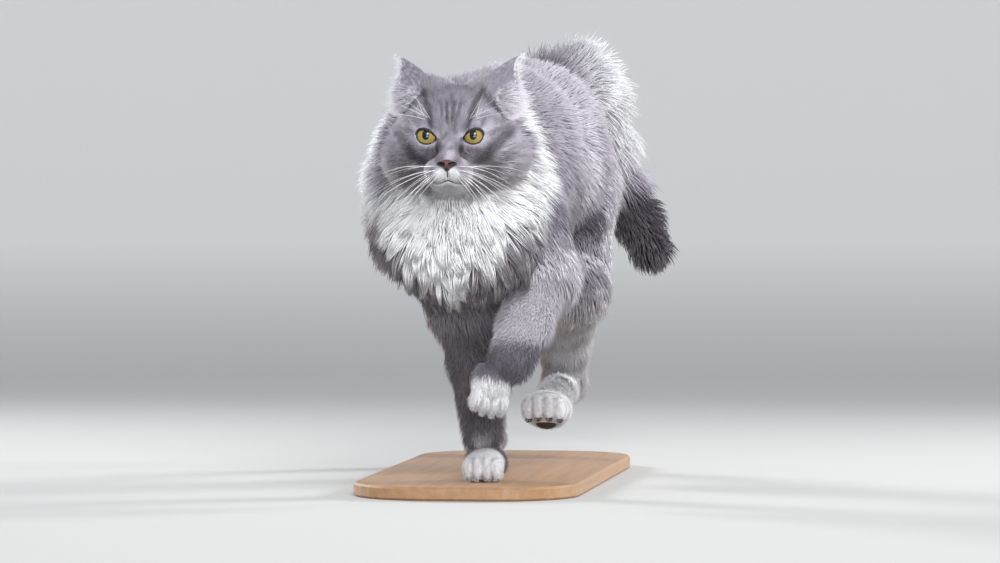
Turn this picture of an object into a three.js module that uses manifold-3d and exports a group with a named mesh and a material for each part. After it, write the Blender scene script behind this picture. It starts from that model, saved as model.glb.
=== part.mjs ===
// A long-haired cat in mid-stride, life size, on a thin display base.
// Millimetres, +Z up. The animal faces -Y and its left side is +X. Its own frame has Z = 0 at the soles,
// and the exported group stands that frame on the base, whose underside is at Z = 0.
import * as THREE from "three";
import { mergeVertices } from "three/addons/utils/BufferGeometryUtils.js";
import Module from "manifold-3d";

const wasm = await Module();
wasm.setup();

// ---- Driving dimensions ----
const GAP = 0.35; // clearance between touching nodes
const WELD = 0.15; // edges shorter than this are closed up
const STRONG_WELDS = [5, 4, 3, 2, 1]; // the same, tried in turn where a region is cut from the body
const BACK_HEIGHT = 371; // sole to the top of the coat along the back
const TRUNK_HALF_WIDTH = 87; // coat included
const EYE_RADIUS = 11;
const EYE_SPACING = 40.7; // pupil to pupil
const NOSE = { width: 17, height: 11.5, depth: 9 };
const EAR = { width: 40, depth: 34, wall: 2.6, lowRim: 0.2 };
const BASE = { length: 520, width: 200, thickness: 12, corner: 70, bevel: 2, middle: [-14, 156] };

const at = (x, y, z) => new THREE.Vector3(x, y, z);
const degrees = THREE.MathUtils.degToRad;

// ---- Fields: each is a function of a point, negative inside, about a distance near the surface ----

/** An egg or ball: radii along x, y and z. */
function egg(centre, radii) {
  const q = at(0, 0, 0);
  return (p) => {
    q.copy(p).sub(centre).divide(radii);
    const near = q.length();
    const slope = q.divide(radii).length();
    return slope > 0 ? (near * (near - 1)) / slope : -Math.min(radii.x, radii.y, radii.z);
  };
}

/** A limb from a to b: a cone with a ball at each end. */
function limb(a, ra, b, rb) {
  const axis = b.clone().sub(a);
  const length2 = axis.lengthSq();
  const rise = ra - rb;
  const a2 = length2 - rise * rise;
  const q = at(0, 0, 0);
  return (p) => {
    q.copy(p).sub(a);
    const along = q.dot(axis);
    const side2 = q.multiplyScalar(length2).sub(axis.clone().multiplyScalar(along)).lengthSq();
    const back = along - length2;
    const along2 = along * along * length2;
    const back2 = back * back * length2;
    const k = Math.sign(rise) * rise * rise * side2;
    if (Math.sign(back) * a2 * back2 > k) return Math.sqrt(side2 + back2) / length2 - rb;
    if (Math.sign(along) * a2 * along2 < k) return Math.sqrt(side2 + along2) / length2 - ra;
    return (Math.sqrt((side2 * a2) / length2) + along * rise) / length2 - ra;
  };
}

const smoothMin = (a, b, k) => {
  const h = Math.max(k - Math.abs(a - b), 0) / k;
  return Math.min(a, b) - (h * h * k) / 4;
};

/** Several shapes grown together, with fillets of about k. */
const blend = (k, ...shapes) => (p) => shapes.reduce((d, shape) => smoothMin(d, shape(p), k), 1e4);

/** A shape with another pressed out of it. */
const press = (k, shape, tool) => (p) => -smoothMin(-shape(p), tool(p), k);

/** A chain of limbs through stations of [point, radius]. */
const chain = (k, stations) =>
  blend(k, ...stations.slice(1).map(([b, rb], i) => limb(stations[i][0], stations[i][1], b, rb)));

/** A shape described in a frame's own coordinates. */
function inFrame(frame, shape) {
  frame.updateMatrixWorld(true);
  const inverse = frame.matrixWorld.clone().invert();
  const q = at(0, 0, 0);
  return (p) => shape(q.copy(p).applyMatrix4(inverse));
}

// ---- The head, in a frame of its own whose origin is the middle of the skull ----
const headFrame = new THREE.Object3D();
headFrame.position.set(-12.5, -118, 302);
headFrame.rotation.set(degrees(2), 0, degrees(3));

const eyeCentre = (side) => at((side * EYE_SPACING) / 2, -30, 3);
const pair = (make) => [make(-1), make(1)];

function headShape() {
  const skull = blend(
    14,
    egg(at(0, 8, 5), at(50, 46, 41)),
    egg(at(0, -16, 14), at(35, 22, 25)),
    ...pair((s) => egg(at(s * 30, -4, -20), at(29, 30, 26))),
    egg(at(0, -26, -33), at(27, 26, 14)),
    ...pair((s) => limb(at(s * 22, 8, 36), 13, at(s * 38, 11, 42), 11)),
  );
  const face = blend(
    8,
    skull,
    limb(at(0, -28, 6), 14, at(0, -58, -14), 9),
    ...pair((s) => limb(at(s * 13, -29, 17), 8, at(s * 33, -19, 14), 9)),
    ...pair((s) => egg(at(s * 10.5, -50, -26), at(13, 16, 12))),
    egg(at(0, -46, -37), at(14, 15, 10)),
  );
  const eyes = pair((s) => egg(eyeCentre(s), at(9.5, 9.5, 8.5)));
  return inFrame(headFrame, eyes.reduce((shape, tool) => press(5, shape, tool), face));
}

// ---- Neck, trunk and tail ----
const neckShape = () =>
  blend(
    24,
    egg(at(-19, -38, 240), at(TRUNK_HALF_WIDTH - 4, 62, 104)),
    egg(at(-12, -88, 206), at(58, 50, 68)),
    limb(at(-13, -76, 288), 46, at(-14, -20, 280), 72),
    limb(at(-12, -128, 262), 20, at(-12, -100, 222), 42),
  );

const trunkShape = () =>
  blend(
    36,
    egg(at(-14, 5, BACK_HEIGHT - 116), at(TRUNK_HALF_WIDTH + 1, 100, 110)),
    egg(at(-6, 130, BACK_HEIGHT - 104), at(TRUNK_HALF_WIDTH - 4, 125, 102)),
    egg(at(2, 240, BACK_HEIGHT - 104), at(TRUNK_HALF_WIDTH - 2, 98, 102)),
    limb(at(-12, 30, BACK_HEIGHT - 96), 84, at(0, 240, BACK_HEIGHT - 96), 82),
  );

const tailStations = [
  [at(-3, 312, 318), 29],
  [at(8, 372, 338), 36],
  [at(30, 430, 352), 41],
  [at(34, 480, 334), 40],
  [at(37, 506, 294), 35],
  [at(46, 516, 258), 32],
  [at(72, 522, 224), 32],
  [at(84, 512, 197), 28],
];
const tailShape = () => chain(20, tailStations);

// ---- Legs: stations run from the body to the paw ----
const legs = {
  foreleg_right: {
    stations: [
      [at(-46, 4, 232), 50],
      [at(-22, 22, 148), 33],
      [at(-14, 14, 105), 29],
      [at(-4, -2, 42), 20],
    ],
    paw: { place: at(0, -15, 14), turn: [0, 0, 0], size: at(21, 27, 17) },
  },
  foreleg_left: {
    stations: [
      [at(26, -5, 228), 46],
      [at(48, 0, 178), 32],
      [at(40, -50, 138), 26],
      [at(33, -86, 110), 22],
    ],
    paw: { place: at(15, -92, 84), turn: [62, 28, 0], size: at(20, 26, 17) },
  },
  hindleg_right: {
    stations: [
      [at(-34, 262, 245), 56],
      [at(-46, 225, 150), 38],
      [at(-50, 335, 92), 20],
      [at(-50, 352, 32), 17],
    ],
    paw: { place: at(-50, 338, 13), turn: [0, 0, 0], size: at(21, 29, 16) },
  },
  hindleg_left: {
    stations: [
      [at(30, 262, 245), 56],
      [at(44, 190, 164), 40],
      [at(36, 252, 75), 19],
      [at(33, 180, 58), 18],
    ],
    paw: { place: at(31, 160, 56), turn: [-18, 0, 0], size: at(25, 28, 19) },
  },
};

/** A paw: its own ball with four toes at the front, turned about its middle. */
function pawShape({ place, turn, size }) {
  const frame = new THREE.Object3D();
  frame.position.copy(place);
  frame.rotation.set(...turn.map(degrees));
  const toes = [-0.66, -0.24, 0.24, 0.66].map((across) =>
    egg(
      at(across * size.x, -size.y * (0.78 - 0.3 * Math.abs(across)), -size.z * 0.28),
      at(size.x * 0.34, size.y * 0.42, size.z * 0.62),
    ),
  );
  return inFrame(frame, blend(5, egg(at(0, 0, 0), size), ...toes));
}

const legShape = (leg) => blend(14, chain(12, leg.stations), pawShape(leg.paw));

const BODY_LOW = at(-140, -215, -12);
const BODY_HIGH = at(150, 585, 420);
const bodyShape = blend(
  30,
  blend(9, headShape(), neckShape()),
  blend(30, trunkShape(), tailShape()),
  ...Object.values(legs).map(legShape),
);

// ---- Surfaces: a net of quads over the grid cells that a field's surface crosses ----
function surfaceNet(field, low, high, cell) {
  const count = high.clone().sub(low).divideScalar(cell).ceil().addScalar(1).toArray();
  const [nx, ny, nz] = count;
  const index = (i, j, k) => i + nx * (j + ny * k);
  const p = at(0, 0, 0);
  const values = new Float32Array(nx * ny * nz);
  for (let k = 0; k < nz; k++)
    for (let j = 0; j < ny; j++)
      for (let i = 0; i < nx; i++)
        values[index(i, j, k)] = field(p.set(low.x + i * cell, low.y + j * cell, low.z + k * cell));

  const vertexOf = new Map();
  const points = [];
  const corner = [0, 1, 2, 3, 4, 5, 6, 7].map((c) => [c & 1, (c >> 1) & 1, (c >> 2) & 1]);
  const edges = [];
  corner.forEach((a, m) => corner.forEach((b, n) => n > m && [1, 2, 4].includes(m ^ n) && edges.push([m, n])));
  for (let k = 0; k < nz - 1; k++)
    for (let j = 0; j < ny - 1; j++)
      for (let i = 0; i < nx - 1; i++) {
        const v = corner.map(([a, b, c]) => values[index(i + a, j + b, k + c)]);
        const crossed = edges.filter(([m, n]) => v[m] < 0 !== v[n] < 0);
        if (!crossed.length) continue;
        const sum = at(0, 0, 0);
        for (const [m, n] of crossed)
          sum.add(at(...corner[m]).lerp(at(...corner[n]), v[m] / (v[m] - v[n])));
        vertexOf.set(index(i, j, k), points.length);
        points.push(sum.divideScalar(crossed.length).add(at(i, j, k)).multiplyScalar(cell).add(low));
      }
  points.forEach((point) => settle(field, point));

  const triangles = [];
  const steps = [[1, 0, 0], [0, 1, 0], [0, 0, 1]];
  for (let k = 1; k < nz - 1; k++)
    for (let j = 1; j < ny - 1; j++)
      for (let i = 1; i < nx - 1; i++)
        steps.forEach(([a, b, c], axis) => {
          const inside = values[index(i, j, k)] < 0;
          if (inside === values[index(i + a, j + b, k + c)] < 0) return;
          const [u, w] = [steps[(axis + 1) % 3], steps[(axis + 2) % 3]];
          const ring = [[0, 0], [1, 0], [1, 1], [0, 1]].map(([m, n]) =>
            vertexOf.get(index(i - m * u[0] - n * w[0], j - m * u[1] - n * w[1], k - m * u[2] - n * w[2])),
          );
          if (!inside) ring.reverse();
          const [q0, q1, q2, q3] = ring;
          const short = points[q0].distanceToSquared(points[q2]) < points[q1].distanceToSquared(points[q3]);
          triangles.push(...(short ? [q0, q1, q2, q0, q2, q3] : [q1, q2, q3, q1, q3, q0]));
        });
  return solid(points.flatMap((v) => v.toArray()), triangles);
}

/** The net of a field, on the first grid phase at which no edge has four faces. */
function closedNet(field, low, high, cell) {
  for (let phase = 0; phase < 1; phase += 0.11)
    try {
      return surfaceNet(field, low.clone().subScalar(phase * cell), high, cell);
    } catch (error) {
      if (error.code !== "NotManifold") throw error;
    }
  throw new Error("no grid phase gives a closed net");
}

/** Moves a point onto the surface of a field by a few Newton steps. */
function settle(field, point) {
  const e = 0.05;
  const probe = at(0, 0, 0);
  for (let step = 0; step < 3; step++) {
    const d = field(point);
    const slope = at(1, 0, 0).set(
      field(probe.copy(point).add(at(e, 0, 0))) - d,
      field(probe.copy(point).add(at(0, e, 0))) - d,
      field(probe.copy(point).add(at(0, 0, e))) - d,
    ).divideScalar(e);
    const move = slope.multiplyScalar(-d / Math.max(slope.lengthSq(), 0.2));
    point.add(move.clampLength(0, 2));
  }
}

// ---- Solids for joining and cutting ----
const solid = (positions, triangles) =>
  new wasm.Manifold(
    new wasm.Mesh({
      numProp: 3,
      vertProperties: new Float32Array(positions),
      triVerts: new Uint32Array(triangles),
    }),
  );

/** A three.js geometry, moved by an object's matrix, as a solid. */
function solidOf(geometry, frame = new THREE.Object3D()) {
  frame.updateMatrixWorld(true);
  const bare = new THREE.BufferGeometry().setAttribute("position", geometry.getAttribute("position").clone());
  if (geometry.index) bare.setIndex(geometry.index.clone());
  const merged = mergeVertices(bare.applyMatrix4(frame.matrixWorld), 1e-3);
  return solid(merged.attributes.position.array, merged.index.array);
}

const pointsOf = (mesh) =>
  Array.from({ length: mesh.numVert }, (_, i) =>
    at(...mesh.vertProperties.subarray(i * mesh.numProp, i * mesh.numProp + 3)),
  );

/** A solid with every edge shorter than a length closed up. A point that stays put takes in one that doesn't. */
function welded(s, length, staysPut = () => false) {
  const mesh = s.getMesh();
  const { triVerts } = mesh;
  const points = pointsOf(mesh);
  const fixed = points.map(staysPut);
  const parent = points.map((_, i) => i);
  const root = (i) => (parent[i] === i ? i : (parent[i] = root(parent[i])));
  for (let t = 0; t < triVerts.length; t += 3)
    for (let side = 0; side < 3; side++) {
      const ends = [root(triVerts[t + side]), root(triVerts[t + ((side + 1) % 3)])];
      if (points[ends[0]].distanceTo(points[ends[1]]) >= length) continue;
      if (fixed[ends[0]]) ends.reverse();
      parent[ends[0]] = ends[1];
    }
  const kept = [];
  for (let t = 0; t < triVerts.length; t += 3) {
    const [a, b, c] = [root(triVerts[t]), root(triVerts[t + 1]), root(triVerts[t + 2])];
    if (a !== b && b !== c && c !== a) kept.push(a, b, c);
  }
  return solid(points.flatMap((v) => v.toArray()), kept);
}

/** The most strongly welded form of a cut solid that is still closed and keeps its volume and cut faces. */
function tidied(s, net) {
  const netPoints = new Set(pointsOf(net.getMesh()).map((v) => v.toArray().join()));
  const onCut = (v) => !netPoints.has(v.toArray().join());
  for (const length of STRONG_WELDS)
    try {
      const tidy = largest(welded(s, length, onCut));
      if (Math.abs(tidy.volume() / largest(s).volume() - 1) < 0.02) return tidy;
    } catch (error) {
      if (error.code !== "NotManifold") throw error;
    }
  return largest(welded(s, WELD));
}

/** A solid's largest single body. */
const largest = (s) => s.decompose().reduce((a, b) => (b.volume() > a.volume() ? b : a));

function geometryOf(s) {
  const { numVert, numProp, vertProperties, triVerts } = s.getMesh();
  const positions = new Float32Array(numVert * 3);
  for (let i = 0; i < numVert; i++)
    positions.set(vertProperties.subarray(i * numProp, i * numProp + 3), i * 3);
  const indexed = new THREE.BufferGeometry()
    .setAttribute("position", new THREE.BufferAttribute(positions, 3))
    .setIndex(new THREE.BufferAttribute(new Uint32Array(triVerts), 1));
  indexed.computeVertexNormals();
  return indexed;
}

// ---- Parting: each region is a turned box that takes its share of the body, in this order ----
/** A box by its middle, its full sizes and its turn in degrees about x, y and z. */
const region = (name, cell, middle, size, turn = [0, 0, 0]) => ({ name, cell, middle, size, turn });

function boxOf({ middle, size, turn }, grow = 0) {
  const frame = new THREE.Object3D();
  frame.position.copy(middle);
  frame.rotation.set(...turn.map(degrees));
  return { frame, geometry: new THREE.BoxGeometry(size.x + 2 * grow, size.y + 2 * grow, size.z + 2 * grow) };
}

/** The distance to a region's box, grown a little, so that the net closes just outside the cut. */
function boxField({ middle, size, turn }, grow) {
  const { frame } = boxOf({ middle, size, turn });
  const half = size.clone().multiplyScalar(0.5).addScalar(grow);
  return inFrame(frame, (q) => {
    const [dx, dy, dz] = [Math.abs(q.x) - half.x, Math.abs(q.y) - half.y, Math.abs(q.z) - half.z];
    const outside = Math.hypot(Math.max(dx, 0), Math.max(dy, 0), Math.max(dz, 0));
    return outside + Math.min(Math.max(dx, dy, dz), 0);
  });
}

const LIMIT = 900; // long enough to pass right through the animal
const MIDLINE = -8; // between the two thighs
const regions = [
  region("head", 10, at(-13, -145, 315), at(150, 110, 150), [-25, 0, 3]),
  region("foreleg_right_paw", 9, at(0, -20, 8), at(90, 90, 60)),
  region("foreleg_right_forearm", 13, at(-14, 8, 88), at(110, 110, 100)),
  region("foreleg_left_paw", 9, at(18, -112, 78), at(90, 60, 62), [20, 0, 0]),
  region("foreleg_left_forearm", 13, at(42, -72, 122), at(110, 106, 96), [-40, 0, 0]),
  region("hindleg_right_paw", 9, at(-50, 340, 8), at(90, 110, 60)),
  region("hindleg_right_shank", 12, at(-50, 325, 78), at(84, 250, 80)),
  region("hindleg_left_paw", 9, at(31, 150, 56), at(80, 70, 76)),
  region("hindleg_left_shank", 12, at(43, 240, 79), at(84, 150, 82)),
  region("hindleg_right_thigh", 17, at(MIDLINE - 65, 250, 163), at(130, 220, 90)),
  region("hindleg_left_thigh", 17, at(MIDLINE + 65, 250, 165), at(130, 220, 90)),
  region("tail_tip", 14, at(70, 540, 180), at(200, 200, 170)),
  region("tail_middle", 17, at(30, 520, 330), at(200, 200, 260)),
  region("tail_base", 16, at(0, 380, 350), at(160, 90, 200)),
  region("neck", 17, at(-12, -150, 250), at(LIMIT, 200, LIMIT)),
  region("chest", 19, at(0, 10, 250), at(LIMIT, 130, LIMIT)),
  region("belly", 19, at(0, 120, 250), at(LIMIT, 100, LIMIT)),
  region("hips", 19, at(0, 260, 250), at(LIMIT, 190, LIMIT)),
];

/** The net of the body inside one region, cut clean by its box and clear of what is already taken. */
function takeRegion(r, taken) {
  const low = r.middle.clone().addScaledVector(r.size, -0.5).max(BODY_LOW);
  const high = r.middle.clone().addScaledVector(r.size, 0.5).min(BODY_HIGH);
  const margin = 3 * r.cell + (r.turn.some(Boolean) ? 25 : 0);
  const closing = boxField(r, 1.5 * r.cell);
  const near = (p) => Math.max(bodyShape(p), closing(p));
  const net = closedNet(near, low.subScalar(margin), high.addScalar(margin), r.cell);
  const { frame, geometry } = boxOf(r);
  const without = (s) => taken.reduce((rest, cutter) => rest.subtract(cutter), s);
  const share = without(net.intersect(solidOf(geometry, frame)));
  return largest(welded(without(tidied(share, net)), WELD));
}

// ---- Ears, eyes, nose and base ----
const earRoot = (side) => at(side * 37, 12, 28);
const earTip = (side) => at(side * 57, 20, 73);

/**
 * An ear is a cup whose rim runs up to a point at the back.
 * In its own frame +Z runs to the tip and -Y looks out of the opening. Grown and plugged, it is the socket.
 */
function earGeometry({ grow = 0, plugged = false } = {}) {
  const outer = [0, 0.15, 0.4, 0.7, 1].map((t) => new THREE.Vector2(1, t));
  const inner = [1, 0.7, 0.4, 0.25].map((t) => new THREE.Vector2(0.5, t));
  const profile = [new THREE.Vector2(0, 0), ...outer, ...(plugged ? [] : inner)];
  profile.push(new THREE.Vector2(0, plugged ? 1 : 0.25));
  const cup = new THREE.LatheGeometry(profile, 10);
  const height = earRoot(1).distanceTo(earTip(1));
  const points = cup.getAttribute("position");
  const p = at(0, 0, 0);
  for (let i = 0; i < points.count; i++) {
    p.fromBufferAttribute(points, i);
    const radius = Math.hypot(p.x, p.z);
    const [across, back] = radius > 1e-6 ? [p.x / radius, -p.z / radius] : [0, 0];
    const rim = EAR.lowRim + (1 - EAR.lowRim) * Math.pow((1 + back) / 2, 1.4);
    const up = p.y * (radius > 1e-6 ? rim : EAR.lowRim);
    const narrowing = 1 - 0.88 * Math.pow(up, 1.8);
    const reach = (half) => {
      const outside = half * narrowing + grow;
      return radius < 0.9 ? Math.max(outside - EAR.wall, 0.4 * outside) : outside;
    };
    points.setXYZ(i, across * reach(EAR.width / 2), back * reach(EAR.depth / 2), up * (height + grow) - grow);
  }
  return cup;
}

/** Stands an ear on the skull, its opening turned out to the side and a little back. */
function earFrame(side) {
  const up = earTip(side).sub(earRoot(side)).normalize();
  const back = at(-side, -0.25, 0);
  back.addScaledVector(up, -back.dot(up)).normalize();
  const frame = new THREE.Object3D();
  frame.applyMatrix4(new THREE.Matrix4().makeBasis(back.clone().cross(up), back, up));
  frame.position.copy(earRoot(side));
  headFrame.add(frame);
  return frame;
}

function eyeFrame(side) {
  const frame = new THREE.Object3D();
  frame.position.copy(eyeCentre(side));
  headFrame.add(frame);
  return frame;
}

const eyeGeometry = ({ grow = 0 } = {}) => new THREE.SphereGeometry(EYE_RADIUS + grow, 12, 8);

/** The nose leather: broad above, narrow below. */
function noseGeometry({ grow = 0 } = {}) {
  const ball = new THREE.SphereGeometry(1, 10, 7);
  const points = ball.getAttribute("position");
  for (let i = 0; i < points.count; i++) {
    const [x, y, z] = [points.getX(i), points.getY(i), points.getZ(i)];
    const broad = 0.8 + 0.3 * z;
    points.setXYZ(
      i,
      x * broad * (NOSE.width / 2 + grow),
      y * (NOSE.depth / 2 + grow),
      z * (NOSE.height / 2 + grow),
    );
  }
  return ball;
}

function noseFrame() {
  const frame = new THREE.Object3D();
  frame.position.set(0, -65, -19);
  frame.rotation.set(degrees(-14), 0, 0);
  headFrame.add(frame);
  return frame;
}

/** A plain board with rounded corners and eased edges. */
function baseGeometry() {
  const { length, width, thickness, corner, bevel } = BASE;
  const [x, y] = [width / 2 - bevel, length / 2 - bevel];
  const outline = new THREE.Shape();
  outline.moveTo(x, -y + corner);
  outline.lineTo(x, y - corner);
  outline.absarc(x - corner, y - corner, corner, 0, Math.PI / 2);
  outline.absarc(-x + corner, y - corner, corner, Math.PI / 2, Math.PI);
  outline.absarc(-x + corner, -y + corner, corner, Math.PI, 1.5 * Math.PI);
  outline.absarc(x - corner, -y + corner, corner, 1.5 * Math.PI, 2 * Math.PI);
  const board = new THREE.ExtrudeGeometry(outline, {
    depth: thickness - 2 * bevel,
    bevelThickness: bevel,
    bevelSize: bevel,
    bevelSegments: 1,
    curveSegments: 4,
  });
  return board.translate(BASE.middle[0], BASE.middle[1], bevel - thickness);
}

// ---- Assembly ----
const coat = (color) => new THREE.MeshStandardMaterial({ color, roughness: 0.9, metalness: 0 });
const greyCoat = coat(0x8f8b97);
const darkCoat = coat(0x67636e);
const paleCoat = coat(0xd8d5d8);
const whiteCoat = coat(0xe9e6e3);
const coats = {
  head: greyCoat,
  neck: paleCoat,
  tail_tip: darkCoat,
  foreleg_right_forearm: darkCoat,
  foreleg_left_paw: whiteCoat,
  foreleg_right_paw: whiteCoat,
  hindleg_left_paw: whiteCoat,
  hindleg_right_paw: whiteCoat,
};
const eyeGloss = new THREE.MeshStandardMaterial({ color: 0xb7a548, roughness: 0.1, metalness: 0 });
const noseLeather = new THREE.MeshStandardMaterial({ color: 0x8f6a66, roughness: 0.55, metalness: 0 });
const paleWood = new THREE.MeshStandardMaterial({ color: 0xcdb896, roughness: 0.5, metalness: 0 });

const cat = new THREE.Group();
cat.position.set(-BASE.middle[0], -BASE.middle[1], BASE.thickness);

function place(name, s, material) {
  const mesh = new THREE.Mesh(geometryOf(s), material);
  mesh.name = name;
  cat.add(mesh);
}

const fittings = [];
for (const [side, name] of [[-1, "right"], [1, "left"]]) {
  const eye = eyeFrame(side);
  const ear = earFrame(side);
  place(`eye_${name}`, solidOf(eyeGeometry(), eye), eyeGloss);
  place(`ear_${name}`, solidOf(earGeometry(), ear), greyCoat);
  fittings.push(solidOf(eyeGeometry({ grow: GAP }), eye), solidOf(earGeometry({ grow: GAP, plugged: true }), ear));
}
const nose = noseFrame();
place("nose", solidOf(noseGeometry(), nose), noseLeather);
fittings.push(solidOf(noseGeometry({ grow: GAP }), nose));

const board = baseGeometry();
place("stand_base", solidOf(board), paleWood);
const floorCut = new THREE.BoxGeometry(LIMIT, 2 * LIMIT, 100).translate(0, 0, GAP - 50);
const taken = [solidOf(floorCut), ...fittings];
for (const r of regions) {
  place(r.name, takeRegion(r, taken), coats[r.name] ?? greyCoat);
  const { frame, geometry } = boxOf(r, GAP);
  taken.push(solidOf(geometry, frame));
}

const model = new THREE.Group();
model.add(cat);
export default model;
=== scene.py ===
import math
from functools import reduce

import bmesh
import bpy
import numpy as np
from mathutils import Matrix, Vector
from mathutils.bvhtree import BVHTree
from mathutils.kdtree import KDTree
from mathutils.noise import noise


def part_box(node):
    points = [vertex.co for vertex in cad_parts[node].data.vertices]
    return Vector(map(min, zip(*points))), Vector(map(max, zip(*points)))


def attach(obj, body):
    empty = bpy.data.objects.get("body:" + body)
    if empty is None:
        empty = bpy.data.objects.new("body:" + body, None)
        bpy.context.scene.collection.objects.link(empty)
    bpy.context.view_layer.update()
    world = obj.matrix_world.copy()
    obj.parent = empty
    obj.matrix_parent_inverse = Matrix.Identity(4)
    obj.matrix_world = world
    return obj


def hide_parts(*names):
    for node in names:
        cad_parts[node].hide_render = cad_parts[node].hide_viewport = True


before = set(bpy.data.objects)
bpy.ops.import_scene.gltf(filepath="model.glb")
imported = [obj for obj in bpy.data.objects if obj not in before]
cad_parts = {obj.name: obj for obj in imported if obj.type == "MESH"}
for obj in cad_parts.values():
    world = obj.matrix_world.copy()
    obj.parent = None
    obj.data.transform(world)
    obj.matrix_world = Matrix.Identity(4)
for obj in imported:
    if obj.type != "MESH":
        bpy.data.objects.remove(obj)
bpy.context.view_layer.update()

MM = 0.001
EYE_RADIUS = 11
EYE_MIDDLE = (20.35, -30, 3)  # the left eye's, in the head's frame
BASE_MIDDLE = (-14, 156)
FLESH = [n for n in sorted(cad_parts) if not n.startswith(("eye_", "ear_", "nose", "stand_"))]
SIDES = {"right": -1, "left": 1}
draw = np.random.default_rng(7)


# ---- Places: the cat's frame and the head's frame inside it ----
def middle(node):
    low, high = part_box(node)
    return (low + high) / 2


def cat_matrix():
    low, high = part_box("stand_base")
    x, y = (low.x + high.x) / 2, (low.y + high.y) / 2
    place = Vector((x - BASE_MIDDLE[0] * MM, y - BASE_MIDDLE[1] * MM, high.z))
    return Matrix.Translation(place) @ Matrix.Scale(MM, 4)


def head_matrix():
    """The head's frame, from the eyes and the nose."""
    left, right, nose = middle("eye_left"), middle("eye_right"), middle("nose")
    eyes = (left + right) / 2
    across = (left - right).normalized()
    reach, drop = 35, 22  # from between the eyes to the nose
    down = nose - eyes
    down -= across * down.dot(across)
    turned = across.cross(down)
    back = (-reach * down + drop * turned).normalized()
    up = (-drop * down - reach * turned).normalized()
    matrix = Matrix((across, back, up)).transposed().to_4x4()
    matrix.translation = eyes - (back * EYE_MIDDLE[1] + up * EYE_MIDDLE[2]) * MM
    return matrix @ Matrix.Scale(MM, 4)


CAT = cat_matrix()
HEAD = head_matrix()


def moved(points, matrix):
    m = np.array(matrix)
    return points @ m[:3, :3].T + m[:3, 3]


def turned(vectors, matrix):
    return unit(vectors @ np.array(matrix)[:3, :3].T)


def in_cat(points):
    return moved(points, CAT.inverted())


def in_head(points):
    return moved(points, HEAD.inverted())


# ---- Helpers for arrays of points ----
def unit(v):
    return v / np.maximum(np.linalg.norm(v, axis=-1, keepdims=True), 1e-12)


def dot(a, b):
    return (a * b).sum(-1, keepdims=True)


def smooth(low, high, x):
    t = np.clip((x - low) / (high - low), 0, 1)
    return t * t * (3 - 2 * t)


def mix(a, b, t):
    return a + (b - a) * t


def most(*values):
    """The greatest of some values, place by place."""
    return reduce(np.maximum, values)


def clouds(points, size, seed=0):
    """Noise from -1 to 1 in patches of about a size, for points in mm."""
    shifted = points / size + seed * 17.3
    return np.array([noise(p) for p in shifted.tolist()])


def spot(across, up, place, reach, core=0.5, wander=0.0):
    """1 in the core of an oval, falling to 0 at its edge."""
    off = np.hypot((across - place[0]) / reach[0], (up - place[1]) / reach[1])
    return 1 - smooth(core, 1, off + wander)


def stroke(points, path, reach):
    """1 on a path of places, falling to 0 at a reach from it, in two coordinates or three."""
    nearest = np.full(len(points), 1e9)
    for a, b in zip(np.array(path, float)[:-1], np.array(path, float)[1:]):
        along = np.clip(((points - a) @ (b - a)) / ((b - a) @ (b - a)), 0, 1)
        nearest = np.minimum(nearest, np.linalg.norm(points - a - along[:, None] * (b - a), axis=1))
    return 1 - smooth(0.3, 1, nearest / reach)


# ---- Helpers for meshes ----
def mesh_of(bm, name):
    mesh = bpy.data.meshes.new(name)
    bm.to_mesh(mesh)
    bm.free()
    mesh.shade_smooth()
    return mesh


def turned_form(line, steps):
    """An open line of places, turned all round the upright axis."""
    bm = bmesh.new()
    verts = [bm.verts.new(place) for place in line]
    for pair in zip(verts[:-1], verts[1:]):
        bm.edges.new(pair)
    bmesh.ops.spin(
        bm, geom=bm.verts[:] + bm.edges[:], axis=(0, 0, 1), cent=(0, 0, 0),
        angle=2 * math.pi, steps=steps, use_merge=True,
    )
    return bm


def new_object(name, mesh):
    piece = bpy.data.objects.new(name, mesh)
    bpy.context.scene.collection.objects.link(piece)
    return piece


def points_of(mesh):
    points = np.empty(len(mesh.vertices) * 3)
    mesh.vertices.foreach_get("co", points)
    return points.reshape(-1, 3)


def set_points(mesh, points):
    mesh.vertices.foreach_set("co", points.ravel())


def normals_of(mesh):
    normals = np.empty(len(mesh.vertices) * 3)
    mesh.vertex_normals.foreach_get("vector", normals)
    return normals.reshape(-1, 3)


def store(mesh, name, values):
    attribute = mesh.attributes.new(name, "FLOAT", "POINT")
    attribute.data.foreach_set("value", values.astype(np.float32))


# ---- The forms under the skin: eggs and tapered limbs, whose distances are in mm ----
class Egg:
    def __init__(self, centre, radii, space=CAT):
        self.matrix = space @ Matrix.Translation(centre) @ Matrix.Diagonal((*radii, 1))
        self.inverse = self.matrix.inverted()

    def build(self, bm):
        bmesh.ops.create_icosphere(bm, subdivisions=4, radius=1, matrix=self.matrix)

    def distance(self, points):
        q = moved(points, self.inverse)
        near = np.linalg.norm(q, axis=1)
        slope = np.linalg.norm(q @ np.array(self.inverse)[:3, :3], axis=1)
        return near * (near - 1) / np.maximum(slope, 1e-9) / MM


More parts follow.
